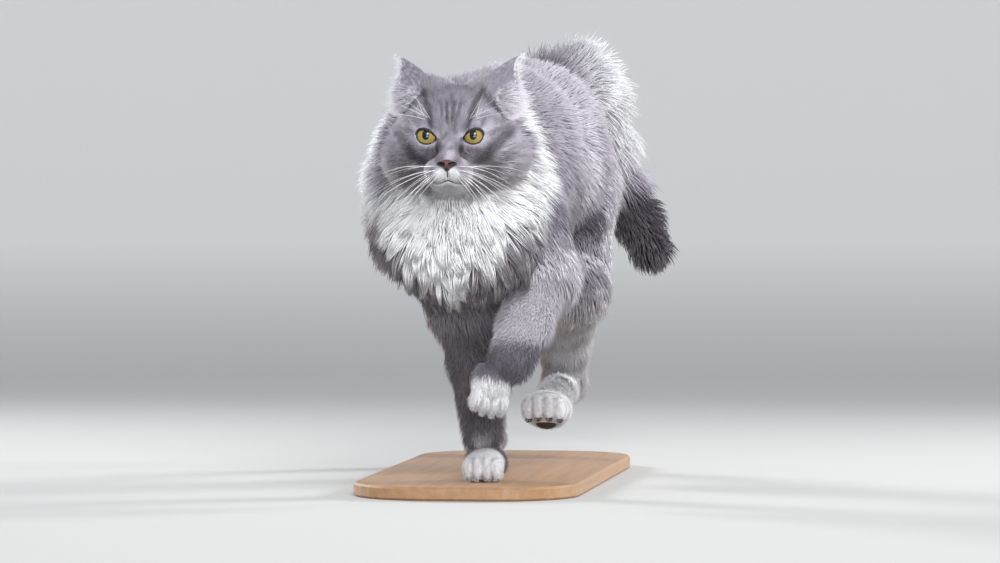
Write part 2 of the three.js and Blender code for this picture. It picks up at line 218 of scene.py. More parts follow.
class Limb:
    def __init__(self, a, start, b, end, space=CAT):
        self.a, self.b = np.array(space @ Vector(a)), np.array(space @ Vector(b))
        self.start, self.end = start, end
        self.axis = unit(self.b - self.a)

    def build(self, bm):
        limb = bmesh.new()
        for centre, radius in ((self.a, self.start), (self.b, self.end)):
            place = Matrix.Translation(centre)
            bmesh.ops.create_icosphere(limb, subdivisions=3, radius=radius * MM, matrix=place)
        hull = bmesh.ops.convex_hull(limb, input=limb.verts[:])
        inner = [v for v in hull["geom_interior"] if isinstance(v, bmesh.types.BMVert)]
        bmesh.ops.delete(limb, geom=inner, context="VERTS")
        bmesh.ops.recalc_face_normals(limb, faces=limb.faces)
        mesh = mesh_of(limb, "limb")
        bm.from_mesh(mesh)
        bpy.data.meshes.remove(mesh)

    def distance(self, points):
        span = self.b - self.a
        along = np.clip(((points - self.a) @ span) / (span @ span), 0, 1)
        off = np.linalg.norm(points - self.a - along[:, None] * span, axis=1) / MM
        return off - mix(self.start, self.end, along)


def chain(stations):
    return [Limb(*stations[i], *stations[i + 1]) for i in range(len(stations) - 1)]


def skull_forms():
    return [
        Egg((0, 8, 5), (46, 42, 37), HEAD),
        Egg((0, -12, 14), (34, 21, 22), HEAD),
        *(Egg((s * 29, -5, -18), (25, 25, 21), HEAD) for s in SIDES.values()),
        Egg((0, -24, -31), (23, 24, 11), HEAD),
        *(Limb((s * 19 + 4, 8, 40), 10, (s * 36 + 4, 11, 44), 9, HEAD) for s in SIDES.values()),
    ]


def face_forms():
    return [
        Limb((0, -26, 6), 12, (0, -57, -14), 7.5, HEAD),
        *(Limb((s * 13, -27, 15), 7.5, (s * 31, -18, 12), 8, HEAD) for s in SIDES.values()),
        *(Egg((s * 21.5, -23, 1.5), (19.5, 15.5, 17), HEAD) for s in SIDES.values()),
        *(Egg((s * 9.5, -51, -26), (11, 14.5, 10.5), HEAD) for s in SIDES.values()),
        Egg((0, -41.5, -32.8), (14, 12.5, 5.8), HEAD),
    ]


TAIL_LINE = [
    (-3, 312, 318), (4, 372, 342), (24, 430, 354), (32, 480, 336),
    (36, 506, 294), (46, 516, 254), (73, 520, 218), (86, 510, 192),
]
TAIL_CORE = 10
LEGS = {  # the joints from the top down, each with its radius
    "foreleg_right": [
        ((-46, 4, 232), 38), ((-22, 22, 148), 24), ((-14, 14, 105), 20), ((-4, -2, 42), 15.5),
    ],
    "foreleg_left": [
        ((26, -5, 228), 35), ((48, 0, 178), 24), ((40, -50, 138), 20), ((33, -86, 110), 17.5),
    ],
    "hindleg_right": [
        ((-34, 262, 245), 42), ((-46, 225, 150), 29), ((-50, 335, 92), 15), ((-50, 352, 32), 13.5),
    ],
    "hindleg_left": [
        ((30, 262, 245), 42), ((44, 190, 164), 31), ((36, 252, 75), 15), ((33, 180, 58), 14.5),
    ],
}
PAWS = {  # middle, turn in degrees about X, and half sizes
    "foreleg_right": ((0, -15, 15), (0, 0), (18.5, 24.5, 14.5)),
    "foreleg_left": ((16, -92, 87), (62, 28), (18, 21.5, 14.5)),
    "hindleg_right": ((-50, 338, 14), (0, 0), (18.5, 26.5, 13.5)),
    "hindleg_left": ((31, 160, 54), (-18, 0), (21.5, 25.5, 16)),
}
TOES = (-0.66, -0.24, 0.24, 0.66)


def paw_matrix(leg):
    place, (about_x, about_y), _ = PAWS[leg]
    turn = Matrix.Rotation(math.radians(about_x), 4, "X") @ Matrix.Rotation(math.radians(about_y), 4, "Y")
    return CAT @ Matrix.Translation(place) @ turn


def paw_forms(leg):
    matrix = paw_matrix(leg)
    x, y, z = PAWS[leg][2]
    toes = [
        Egg((t * x, -y * (0.76 - 0.3 * abs(t)), -z * 0.22), (x * 0.255, y * 0.44, z * 0.68), matrix)
        for t in TOES
    ]
    return [Egg((0, 0.14 * y, 0.02 * z), (0.97 * x, 0.86 * y, 0.96 * z), matrix), *toes]


def body_groups():
    """The forms in groups of one kind of coat: name -> (forms, softness inside, softness to the rest)."""
    groups = {
        "trunk": (
            [
                Egg((-20, 14, 258), (56, 84, 80)),
                Egg((-6, 130, 275), (60, 110, 76)),
                Egg((2, 238, 276), (62, 80, 80)),
            ],
            50, 1,
        ),
        "ruff": (
            [Egg((-29, -30, 248), (56, 46, 74)), Limb((-18, -80, 290), 32, (-28, -20, 278), 44)],
            24, 24,
        ),
        "bib": ([Egg((-12, -74, 214), (42, 40, 46))], 1, 24),
        "throat": ([Limb((-12, -129, 263), 15, (-12, -92, 226), 30)], 1, 20),
        "tail": (chain([(p, 14 if i == 0 else TAIL_CORE) for i, p in enumerate(TAIL_LINE)]), 14, 18),
    }
    for leg, stations in LEGS.items():
        upper, *lower = chain(stations)
        groups[leg + "_upper"] = ([upper], 1, 26)
        groups[leg] = (lower, 9, 12)
        groups[leg + "_paw"] = (paw_forms(leg), 3.5, 6)
    groups["skull"] = (skull_forms(), 15, 20)
    groups["face"] = (face_forms(), 9, 8)
    return groups


GROUPS = body_groups()


def joined(a, b, softness):
    near = np.maximum(softness - np.abs(a - b), 0)
    return np.minimum(a, b) - near * near / (4 * softness)


def group_distance(points, name):
    forms, inside, _ = GROUPS[name]
    near = forms[0].distance(points)
    for form in forms[1:]:
        near = joined(near, form.distance(points), inside)
    return near


def skin_distance(points):
    """The distance from points to the skin's own surface in mm, negative inside."""
    near = None
    for name, (_, _, outside) in GROUPS.items():
        own = group_distance(points, name)
        near = own if near is None else joined(near, own, outside)
    return near


def slope_at(points, step=0.3 * MM):
    here = skin_distance(points)
    ahead = [skin_distance(points + step * np.eye(3)[i]) for i in range(3)]
    return here, np.stack([(a - here) / (step / MM) for a in ahead], axis=1)


def settled(points, rounds):
    """Points carried onto the skin's own surface."""
    for _ in range(rounds):
        here, slope = slope_at(points)
        size = np.maximum((slope**2).sum(1), 0.2)
        points = points - MM * np.clip(here / size, -4, 4)[:, None] * slope
    return points


def shares(points, softness=5.0):
    """How much each group counts at points on the skin: the shares add up to 1."""
    weights = {g: np.exp(-np.clip(group_distance(points, g), -3, 60) / softness) for g in GROUPS}
    total = sum(weights.values())
    return {g: w / total for g, w in weights.items()}


def share_of(parts, ending):
    return sum(w for g, w in parts.items() if g.endswith(ending))


# ---- Eyes: where the lids lie, in the head's frame ----
def eye_centre(side):
    return np.array(EYE_MIDDLE) * (side, 1, 1)


LID_LINE = [  # the lids' edge round the eye, from the outer corner: outward and up
    (8.6, 1.5), (6.3, 5.8), (1.2, 6.7), (-4.0, 4.6), (-8.2, 0.6),
    (-9.3, -2.0), (-6.2, -4.8), (0, -6.1), (5.9, -4.2),
]


def closed_curve(places, steps):
    """A smooth closed curve through a few places."""
    p = np.array(places, float)
    t = np.linspace(0, 1, steps, endpoint=False)[:, None]
    spans = []
    for i in range(len(p)):
        a, b, c, d = (p[(i + k) % len(p)] for k in (-1, 0, 1, 2))
        bend = (2 * a - 5 * b + 4 * c - d) * t**2 + (3 * b - a - 3 * c + d) * t**3
        spans.append(0.5 * (2 * b + (c - a) * t + bend))
    return np.concatenate(spans)


LID_CURVE = closed_curve(LID_LINE, 8)


def lid_place(across_up, side):
    """How far out a place lies from the eye's middle, where 1 is the lids' edge."""
    turn = np.arctan2(across_up[:, 1], across_up[:, 0] * side)
    turns = np.arctan2(LID_CURVE[:, 1], LID_CURVE[:, 0])
    reach = np.interp(turn, turns, np.linalg.norm(LID_CURVE, axis=1), period=2 * math.pi)
    return np.linalg.norm(across_up, axis=1) / reach


# ---- The skin: one mesh over all the forms ----
def rough_skin(voxel):
    bm = bmesh.new()
    for forms, _, _ in GROUPS.values():
        for form in forms:
            form.build(bm)
    lump = new_object("lump", mesh_of(bm, "skin"))
    remesh = lump.modifiers.new("Remesh", "REMESH")
    remesh.mode = "VOXEL"
    remesh.voxel_size = voxel
    smoothing = lump.modifiers.new("Smooth", "SMOOTH")
    smoothing.iterations = 8
    whole = bpy.data.meshes.new_from_object(lump.evaluated_get(bpy.context.evaluated_depsgraph_get()))
    bpy.data.objects.remove(lump)
    whole.name = "skin"
    return whole


def finer(bm, space, low, high):
    """Quarters the faces whose middles lie in a box of some space."""
    middles = moved(np.array([f.calc_center_median() for f in bm.faces]), space.inverted())
    chosen = ((middles > low) & (middles < high)).all(1)
    edges = {e for f, keep in zip(bm.faces, chosen) if keep for e in f.edges}
    bmesh.ops.subdivide_edges(bm, edges=list(edges), cuts=1, use_grid_fill=True)


SOCKET_RADIUS = 9.0  # the hollow behind the eyeball
LID_RADIUS = 12.3  # the skin that lies over the eyeball


def press_sockets(points):
    """Sinks the skin behind each eye, and lays it over the eye as lids round the opening."""
    head = in_head(points)
    for side in SIDES.values():
        from_eye = head - eye_centre(side)
        across_up = from_eye[:, [0, 2]]
        front = (from_eye[:, 1] < 4) & (np.linalg.norm(from_eye, axis=1) < 24)
        off = (across_up**2).sum(1)
        behind = -np.sqrt(np.maximum(SOCKET_RADIUS**2 - off, 0))
        lid = -np.sqrt(np.maximum(LID_RADIUS**2 - off, 0))
        over = np.where(off < LID_RADIUS**2, joined(from_eye[:, 1], lid, 3.0), from_eye[:, 1])
        goal = np.where(lid_place(across_up, side) < 1.0, behind, over)
        from_eye[:, 1] = np.where(front, goal, from_eye[:, 1])
        head = eye_centre(side) + from_eye
    return moved(head, HEAD)


MOUTH_SIDE = [(11, -36.8), (7.5, -36.2), (4, -34.8), (1.2, -33.2)]
MOUTH = [(-x, z) for x, z in MOUTH_SIDE] + MOUTH_SIDE[::-1]
PHILTRUM = [(0, -24), (0, -33)]


def press_mouth(points, normals):
    head = in_head(points)
    across_up = head[:, [0, 2]]
    line = most(stroke(across_up, MOUTH, 2.6), stroke(across_up, PHILTRUM, 2.2))
    return points - normals * (line * smooth(-38, -46, head[:, 1]) * 1.3 * MM)[:, None]


def skin_mesh():
    mesh = rough_skin(3.2 * MM)
    bm = bmesh.new()
    bm.from_mesh(mesh)
    finer(bm, HEAD, (-52, -70, -52), (52, 22, 52))
    finer(bm, HEAD, (-36, -70, -44), (36, -20, 28))
    for leg in LEGS:
        reach = np.array(PAWS[leg][2]) * 1.5
        finer(bm, paw_matrix(leg), -reach, reach)
    bmesh.ops.triangulate(bm, faces=[f for f in bm.faces if len(f.verts) > 4])
    bm.to_mesh(mesh)
    set_points(mesh, settled(points_of(mesh), 7))
    bm.clear()
    bm.from_mesh(mesh)
    all_axes = {"use_axis_" + axis: True for axis in "xyz"}
    bmesh.ops.smooth_vert(bm, verts=bm.verts, factor=0.5, **all_axes)
    bm.to_mesh(mesh)
    bm.free()
    set_points(mesh, settled(points_of(mesh), 3))
    set_points(mesh, press_sockets(press_mouth(points_of(mesh), normals_of(mesh))))
    mesh.shade_smooth()
    mesh.update()
    return mesh


# ---- The markings: white, dark and warm parts of the coat, from 0 to 1 ----
FACE_LINES = [  # dark lines on one side of the face: places across and up, their reach and strength
    ([(15.5, 11), (16.5, 18), (19, 28), (25, 38)], 3.2, 0.9),
    ([(2.2, 14), (2.6, 29)], 1.6, 0.8),
    ([(6.5, 18), (7.6, 28)], 1.7, 0.55),
    ([(11.5, 0), (10, -9)], 2.8, 1.0),
    ([(7.5, -4), (8.5, -16)], 3.4, 0.7),
    ([(42, 2), (36, -6), (28, -13), (20, -16)], 5.0, 1.0),
    ([(31, 5), (42, 8), (54, 5)], 3.2, 0.6),
    ([(36, 27), (50, 23)], 5.0, 0.9),
    ([(30, 19), (40, 14)], 2.6, 0.5),
    ([(47, -11), (40, -20), (28, -27)], 4.2, 0.6),
    ([(52, -24), (42, -33)], 4.0, 0.6),
]
PALE_SPOTS = [(23, 15.5, 5), (30, 9.5, 4), (9.3, 4, 3.5)]  # beside the eyes: across, up, reach


def eye_rings(head):
    """Pale crescents under and outside the eyes, for points in the head's frame."""
    ring = np.zeros(len(head))
    for side in SIDES.values():
        across_up = (head - eye_centre(side))[:, [0, 2]]
        low = smooth(3.5, -2, across_up[:, 1] - 0.35 * across_up[:, 0] * side)
        ring = most(ring, 0.62 * (1 - smooth(1.2, 1.9, lid_place(across_up, side))) * low)
    return ring * smooth(-12, -20, head[:, 1])


def face_marks(points):
    """White, pale and dark on the face, with painted shade on the right cheek, for points in the head's
    frame.
    """
    across, back, up = np.abs(points[:, 0]), points[:, 1], points[:, 2]
    wander = np.stack([clouds(points, 9, 1), clouds(points, 9, 2)], axis=1)
    mirrored = np.stack([across, up], axis=1) + wander * mix(0.9, 1.6, smooth(5, 30, across[:, None]))
    rings = eye_rings(points)
    streaks = clouds(points * (0.4, 0.4, 1), 5, 13)
    ticks = clouds(points * (1, 1, 0.45), 4.5, 15)
    above = smooth(-32, -20, up)
    cheek = smooth(32, 42, across) * smooth(2, -14, up) * smooth(12, -6, back)
    dark = most(
        *(strength * stroke(mirrored, path, reach * 1.25) for path, reach, strength in FACE_LINES),
        0.5 * cheek * smooth(0.1, -0.4, streaks),
        0.5 * above * smooth(0.0, 0.5, ticks),
        # Painted shade: the right cheek and jaw darker, as the side in shadow.
        0.62 * smooth(-26, -40, points[:, 0]) * smooth(8, -6, up),
    )
    pale = most(
        rings,
        *(0.5 * spot(across, up, (x, z), (reach, reach), 0.2) for x, z, reach in PALE_SPOTS),
        0.4 * spot(across, up, (16, -29), (10, 9)),
        0.9 * cheek * smooth(-0.1, 0.4, streaks),
        0.45 * above * smooth(-0.1, -0.5, ticks),
        0.3 * smooth(10, 24, up) + 0.3 * smooth(32, 42, up),
    )
    muzzle = spot(across, up, (5, -28.5), (8.4, 8.4), 0.43)
    chin = spot(across, up, (0, -38), (18, 6), 0.6) * mix(0.4, 0.85, smooth(-35, -40, up))
    below = smooth(-39, -43, up) * smooth(34, 20, across)
    white = most(most(muzzle, chin) * smooth(-26, -36, back), 0.85 * below)
    front = smooth(20, -8, back)
    return white * front, pale * front, dark * front * (1 - 0.8 * most(white, rings))


BAND_SPACING = 25


def limb_bands(points, leg):
    """Broken bands across a leg, counted down its length."""
    stations = [np.array(p, float) for p, _ in LEGS[leg]]
    count = np.zeros(len(points))
    nearest = np.full(len(points), 1e9)
    run = 0
    for a, b in zip(stations[:-1], stations[1:]):
        span = np.linalg.norm(b - a)
        along = np.clip(((points - a) @ (b - a)) / span**2, 0, 1)
        off = np.linalg.norm(points - a - along[:, None] * (b - a), axis=1)
        count = np.where(off < nearest, run + along * span, count)
        nearest = np.minimum(nearest, off)
        run += span
    wavy = count + 10 * clouds(points, 30, 5)
    broken = mix(0.4, 1, smooth(-0.35, 0.3, clouds(points, 17, 6)))
    return broken * smooth(-0.15, 0.95, np.sin(wavy / BAND_SPACING * 2 * math.pi))


# Painted rim light: a pale band down each side of the ruff, standing for its back-lit fringe.
RIM_LIGHT_HEIGHTS = [215, 235, 262, 290, 315, 335]
RIM_LIGHT_BANDS = [  # down each side of the ruff: middles across at the heights, half width, foot
    ([29, 32, 32, 27, 16, 5], 8, 236),
    ([-78, -82, -84, -81, -74, -64], 7, 250),
]


def painted_rim_light(x, y, z):
    """1 in the painted rim light, a pale band down each side of the ruff, measured across the way the
    head looks.
    """
    across = 0.99 * x + 0.139 * y
    bands = np.zeros(len(x))
    for middles, half, foot in RIM_LIGHT_BANDS:
        off = np.abs(across - np.interp(z, RIM_LIGHT_HEIGHTS, middles))
        bands = most(bands, smooth(1.5, 0.7, off / half) * smooth(foot - 18, foot + 14, z))
    return bands * smooth(50, -12, y) * smooth(334, 314, z)


BAND_STRENGTHS = {"foreleg_right": 0.3, "foreleg_left": 0.35, "hindleg_right": 0.7, "hindleg_left": 0.7}
SOCKS = {"foreleg_right": 0, "foreleg_left": 2, "hindleg_left": 30, "hindleg_right": 16}  # back to here


def paw_marks(cat, fine, parts):
    """White socks, and painted shade in the gaps between the toes."""
    socks = np.zeros(len(cat))
    toe_shade = np.zeros(len(cat))
    for leg in LEGS:
        toes = moved(cat, paw_matrix(leg).inverted() @ CAT)
        half = PAWS[leg][2]
        on_paw = parts[leg + "_paw"] + parts[leg]
        sock = smooth(SOCKS[leg] + 5, SOCKS[leg] - 5, toes[:, 1] + 3 * fine) * smooth(34, 20, toes[:, 2])
        gaps = np.min([np.abs(toes[:, 0] - t * half[0]) for t in (-0.45, 0, 0.45)], axis=0)
        # Painted shade along the gaps between the front toes.
        between = smooth(1.6, 0.4, gaps) * smooth(-0.45, -0.7, toes[:, 1] / half[1])
        socks = most(socks, on_paw * sock)
        toe_shade = most(toe_shade, on_paw * between)
    return socks, toe_shade


def marks(points, parts):
    """White, dark and warm for points on the skin, from the groups' shares there."""
    cat = in_cat(points)
    head = in_head(points)
    x, y, z = cat.T
    mottle = clouds(cat, 34, 3)
    fine = clouds(cat, 13, 4)
    on_head = parts["skull"] + parts["face"]
    on_trunk = parts["trunk"] + parts["ruff"] + share_of(parts, "_upper")
    on_chest = parts["trunk"] + parts["ruff"] + parts["bib"] + parts["foreleg_right_upper"]
    standing = parts["foreleg_right"] + parts["foreleg_right_paw"]
    forearm = parts["foreleg_left"] + parts["foreleg_left_paw"]
    forearm = forearm + parts["foreleg_left_upper"] * smooth(235, 200, z)

    bands = smooth(0.05, 0.7, np.sin((y * 0.9 + 0.35 * z + 16 * mottle) / 52 * 2 * math.pi) + 0.5 * fine)
    flank = 0.4 * bands * smooth(325, 255, z + 12 * mottle) + 0.18 * smooth(-0.1, 0.4, fine)
    side_y = np.where(x > 0, y, y + 20)
    blotch = spot(side_y, z, (184, 228), (38, 34), 0.55, 0.2 * mottle)
    shoulder = spot(side_y, z, (104, 246), (40, 48), 0.4, 0.25 * mottle)
    knee = spot(side_y, z, (168, 152), (34, 24), 0.4, 0.25 * mottle)
    brighter = spot(side_y, z, (156, 280), (44, 28), 0.5, 0.2 * mottle)
    nape = smooth(298, 322, z) * smooth(120, 50, y)
    middle_x = x + np.interp(z, [190, 225, 265], [20, 17, 11])
    # The chest low down under the bib is painted darker and browner: partly painted shade under the head
    # and bib, partly the coat's darker chest.
    chest_z = z - 0.3 * np.minimum(np.abs(middle_x), 70) + 10 * fine
    low_chest = smooth(262, 215, chest_z) * smooth(60, 10, y)
    # The top of the back is painted paler: painted light where the light falls on it from above and
    # behind, mottled.
    back = mix(0.5, 1, smooth(-0.3, 0.3, mottle + 0.3 * fine)) * smooth(235, 285, z) * smooth(0, 50, y)
    side_light = smooth(60, 73, np.abs(x)) * smooth(195, 235, y) * smooth(160, 200, z)
    # Painted rim light down each side of the ruff, used below as white and pale.
    beside = painted_rim_light(x, y + 12 * mottle + 8 * fine, z + 10 * fine) * smooth(0.5, 0.2, on_head)
    locky = mix(10, 17, smooth(-10, 20, x)) * clouds(cat * (1, 1, 0.35), 11, 11)
    bib_edge = np.interp(z, [180, 200, 220, 245, 270, 292], [3, 20, 35, 46, 47, 26]) + locky
    bib = smooth(4, -4, np.abs(middle_x) - bib_edge) * smooth(-15, -35, y) * smooth(306, 294, z)
    face_white, face_pale, face_dark = face_marks(head)
    tail_patch = 0.6 * smooth(60, 20, np.hypot(x - 2, z - 350))
    between_bands = 1 - 0.7 * limb_bands(cat, "hindleg_left")
    socks, toe_shade = paw_marks(cat, fine, parts)

    dark = most(
        on_trunk * most(flank, blotch, 0.6 * shoulder, 0.6 * knee, 0.35 * nape),
        # Low on the chest: partly painted shade, partly darker coat.
        0.62 * on_chest * low_chest,
        on_head * face_dark,
    )
    for leg, strength in BAND_STRENGTHS.items():
        on_leg = parts[leg] + 0.75 * parts[leg + "_upper"] * smooth(235, 200, z)
        dark = most(dark * (1 - 0.5 * on_leg), on_leg * strength * limb_bands(cat, leg))
    dark = most(
        dark * (1 - 0.6 * forearm),
        0.6 * forearm * smooth(134, 118, z + 3 * fine),
        0.6 * standing,
        # Painted shade: the tail's low end and tip are painted dark, as they lie in shade behind the
        # rump.
        parts["tail"] * mix(0.1 + tail_patch, 1, smooth(268, 246, z)),
    )
    white = most(
        bib * smooth(0.9, 0.4, on_head),
        0.95 * beside,
        on_trunk * most(0.55 * side_light, 0.3 * brighter),
        on_head * face_white,
        0.3 * forearm * smooth(122, 142, z),
        0.85 * between_bands * parts["hindleg_left"],
        socks,
        # Painted rim light: white high on the tail's left side.
        0.7 * parts["tail"] * smooth(270, 300, z) * smooth(5, 35, x),
    )
    pale = most(
        beside,
        # The pale top of the back here is painted light.
        on_trunk * most(back * mix(0.12, 0.62, smooth(50, 140, y)), side_light, brighter),
        on_head * face_pale,
        forearm * smooth(118, 136, z),
        between_bands * (parts["hindleg_left"] + 0.6 * parts["hindleg_left_upper"]),
        parts["tail"] * smooth(258, 285, z) * (1 - 0.6 * tail_patch),
    )
    # The warm brown low on the chest is partly painted shade.
    warm = most(0.5 * on_head * smooth(0, -30, head[:, 2]), 0.6 * on_chest * low_chest + 0.6 * standing)
    # The painted shade between the toes darkens the white and adds dark.
    white = white * (1 - 0.35 * toe_shade)
    dark = most(dark * (1 - 0.8 * white), 0.28 * toe_shade)
    return {"White": white, "Pale": pale * (1 - white), "Dark": dark, "Warm": np.clip(warm, 0, 1)}


# ---- How the coat lies ----
COATS = {  # length, lift of the tip against the length, width in mm, tufts for each square mm, gathering
    "face": (4.4, 0.28, 0.38, 3.2, 0.25),
    "skull": (9.5, 0.4, 0.55, 1.3, 0.4),
    "throat": (30, 0.4, 1.2, 0.5, 0.6),
    "bib": (48, 0.4, 1.9, 0.42, 0.85),
    "ruff": (42, 0.4, 1.3, 0.48, 0.45),
    "trunk": (38, 0.42, 1.35, 0.31, 0.4),
    "tail": (43, 0.62, 1.45, 0.36, 0.35),
    "upper": (26, 0.42, 1.2, 0.28, 0.4),
    "leg": (13, 0.42, 0.85, 0.48, 0.35),
    "paw": (6.5, 0.3, 0.6, 0.85, 0.3),
}
RINGS = {"bib": 3, "throat": 3, "ruff": 3, "tail": 3, "trunk": 2, "upper": 2}  # others' tufts have one


def kind_of(group):
    if group in COATS:
        return group
    return group.rsplit("_", 1)[1] if group.endswith(("_upper", "_paw")) else "leg"


def lie_of(points, parts):
    """The direction in which the coat lies, before it is pressed onto the skin."""
    cat = in_cat(points)
    head = in_head(points)
    down = np.array((0, 0, -1.0))
    flow = (parts["skull"] + parts["face"])[:, None] * turned(head - (0, -74, -14), HEAD)
    flow += parts["throat"][:, None] * unit(cat - (-12, -140, 290) + 25 * down)
    flow += parts["bib"][:, None] * unit(cat - (-11, -112, 276))
    flow += parts["ruff"][:, None] * unit(unit(cat - (-20, -120, 290)) + (0, 0.35, -0.55))
    side = smooth(345, 250, cat[:, 2])[:, None]
    flow += parts["trunk"][:, None] * unit((0, 1, 0) + down * mix(0.05, 0.75, side))
    for group, (forms, _, _) in GROUPS.items():
        if group == "tail" or group.startswith(("foreleg", "hindleg")) and not group.endswith("_paw"):
            near = [np.exp(-form.distance(points) / 8) for form in forms]
            along = sum(n[:, None] * form.axis for n, form in zip(near, forms))
            flow += parts[group][:, None] * unit(along)
    for leg in LEGS:
        flow += parts[leg + "_paw"][:, None] * turned(np.array(((0, -1, -0.2),)), paw_matrix(leg))
    return unit(flow)


LEATHER_EDGE = ((-26.5, -25, -20, -18, -15.5, -14.5), (0, 2.2, 6.5, 8.4, 4.5, 0))  # heights, half widths


def face_lengths(table, head, on_head):
    """Longer fur on the cheeks and under the chin, and shorter on the bridge and round eyes and mouth."""
    across, back, up = np.abs(head[:, 0]), head[:, 1], head[:, 2]
    cheek = on_head * smooth(-32, 0, back) * smooth(16, -14, up) * smooth(20, 42, across)
    edge = on_head * smooth(-12, 12, back) * smooth(26, -2, up) * smooth(34, 48, across)
    under_chin = on_head * smooth(-36, -42, up) * smooth(-6, -24, back)
    bridge = on_head * smooth(-34, -50, back) * smooth(-34, -28, up)
    table[:, 0] += 13 * cheek + 12 * edge + 7 * under_chin
    table[:, 1] += 0.1 * cheek + 0.2 * edge + 0.08 * under_chin
    table[:, 2] += 0.3 * cheek + 0.3 * edge + 0.25 * under_chin
    table[:, 0] *= 1 - 0.4 * bridge
    table[:, 2] *= 1 - 0.3 * bridge
    table[:, 3] *= 1 + 0.5 * bridge

    near_eye = np.zeros(len(head))
    for side in SIDES.values():
        place = lid_place((head - eye_centre(side))[:, [0, 2]], side)
        near_eye = most(near_eye, (1 - smooth(1.1, 2.2, place)) * (back < -15))
        table[:, 3] *= np.where((place < 1.1) & (back < -15), 0, 1)
    table[:, 0] *= 1 - 0.5 * near_eye
    across_up = head[:, [0, 2]]
    lips = most(stroke(across_up, MOUTH, 2.4), stroke(across_up, PHILTRUM, 2.0)) * (back < -36)
    table[:, 0] *= 1 - 0.6 * lips
    table[:, 3] *= 1 - 0.75 * lips
    table[:, 3] *= np.where((across < np.interp(up, *LEATHER_EDGE)) & (back < -50), 0, 1)


def coat_lengths(points, parts):
    """Length, lift, width, density and gathering of the coat, as arrays."""
    table = sum(parts[g][:, None] * np.array(COATS[kind_of(g)]) for g in GROUPS)
    face_lengths(table, in_head(points), parts["skull"] + parts["face"])
    cat = in_cat(points)
    tail_end = parts["tail"] * smooth(90, 30, np.linalg.norm(cat - TAIL_LINE[-1], axis=1))
    table[:, 0] *= 1 - 0.5 * tail_end
    table[:, 0] *= 1 - 0.4 * (parts["ruff"] + parts["bib"]) * smooth(222, 180, cat[:, 2])
    for leg in LEGS:
        sole = moved(points, paw_matrix(leg).inverted()) / PAWS[leg][2]
        bare = np.hypot(sole[:, 0] / 0.42, (sole[:, 1] - 0.1) / 0.28) < 1
        table[:, 3] *= np.where(bare & (sole[:, 2] < -0.7), 0, 1)
    return table.T


def scattered(mesh, density):
    """Roots over a mesh, by its density: each one's triangle, as vertices and loops, and shares in it."""
    mesh.calc_loop_triangles()
    count = len(mesh.loop_triangles)
    corners = np.empty(count * 3, np.int32)
    loops = np.empty(count * 3, np.int32)
    mesh.loop_triangles.foreach_get("vertices", corners)
    mesh.loop_triangles.foreach_get("loops", loops)
    corners = corners.reshape(-1, 3)
    loops = loops.reshape(-1, 3)
    points = points_of(mesh)
    a, b, c = (points[corners[:, i]] for i in range(3))
    area = np.linalg.norm(np.cross(b - a, c - a), axis=1) / 2 / MM**2
    wanted = np.cumsum(area * density[corners].mean(1))
    tufts = int(wanted[-1])
    spots = (np.arange(tufts) + draw.random(tufts)) * (wanted[-1] / tufts)
    chosen = np.minimum(np.searchsorted(wanted, spots), count - 1)
    u, v = draw.random((2, len(chosen)))
    u, v = np.where(u + v > 1, 1 - u, u), np.where(u + v > 1, 1 - v, v)
    weights = np.stack([1 - u - v, u, v], axis=1)
    return corners[chosen], loops[chosen], weights


def blended(values, corners, weights):
    return np.einsum("nc,nc...->n...", weights, values[corners])


# ---- Tufts: closed three-sided blades along curved lines ----
PATCH = 0.003  # a tuft's patch on the coat's map
SECTION = np.array(((-0.5, -0.3), (0.5, -0.3), (0, 0.6)))  # across and up, for a width of 1
SUNK = 0.6  # how deep a tuft's root is in the skin, in mm


def blades(name, lines, across, widths, places, values, flatness=0.5):
    """One mesh of blades: lines are (blades, rings + 1, 3), and widths are given for the rings."""
    count, stations, _ = lines.shape
    rings = stations - 1
    along = unit(np.gradient(lines, axis=1))
    wide = unit(across[:, None] - along * dot(across[:, None], along))
    thick = np.cross(wide, along) * flatness
    sizes = widths[:, :, None, None]
    sections = (
        lines[:, :rings, None]
        + wide[:, :rings, None] * (SECTION[:, 0, None] * sizes)
        + thick[:, :rings, None] * (SECTION[:, 1, None] * sizes)
    )
    points = np.concatenate([sections.reshape(count, rings * 3, 3), lines[:, rings:]], axis=1)
    faces = [(0, 2, 1)]
    for ring in range(rings - 1):
        for i in range(3):
            a, b = ring * 3 + i, ring * 3 + (i + 1) % 3
            faces += [(a, b, b + 3), (a, b + 3, a + 3)]
    top = (rings - 1) * 3
    faces += [(top + i, top + (i + 1) % 3, rings * 3) for i in range(3)]
    size = rings * 3 + 1
    corners = (np.array(faces)[None] + np.arange(count)[:, None, None] * size).reshape(-1)

    mesh = bpy.data.meshes.new(name)
    mesh.vertices.add(count * size)
    mesh.vertices.foreach_set("co", points.ravel())
    mesh.loops.add(len(corners))
    mesh.loops.foreach_set("vertex_index", corners)
    mesh.polygons.add(len(corners) // 3)
    mesh.polygons.foreach_set("loop_start", np.arange(0, len(corners), 3))
    mesh.update(calc_edges=True)
    mesh.shade_smooth()

    level = np.append(np.repeat(np.arange(rings) / rings, 3), 1)
    side = np.append(np.tile((-0.5, 0.5, 0), rings), 0)
    spread = np.stack([side, level - 0.5], axis=1) * PATCH
    map_points = np.clip(places[:, None] + spread[None], 0, 1).reshape(-1, 2)
    layer = mesh.uv_layers.new(name="OFBake")
    layer.uv.foreach_set("vector", map_points[corners].ravel())
    store(mesh, "Along", np.tile(level, count))
    for key, value in values.items():
        store(mesh, key, np.repeat(value, size))
    return mesh


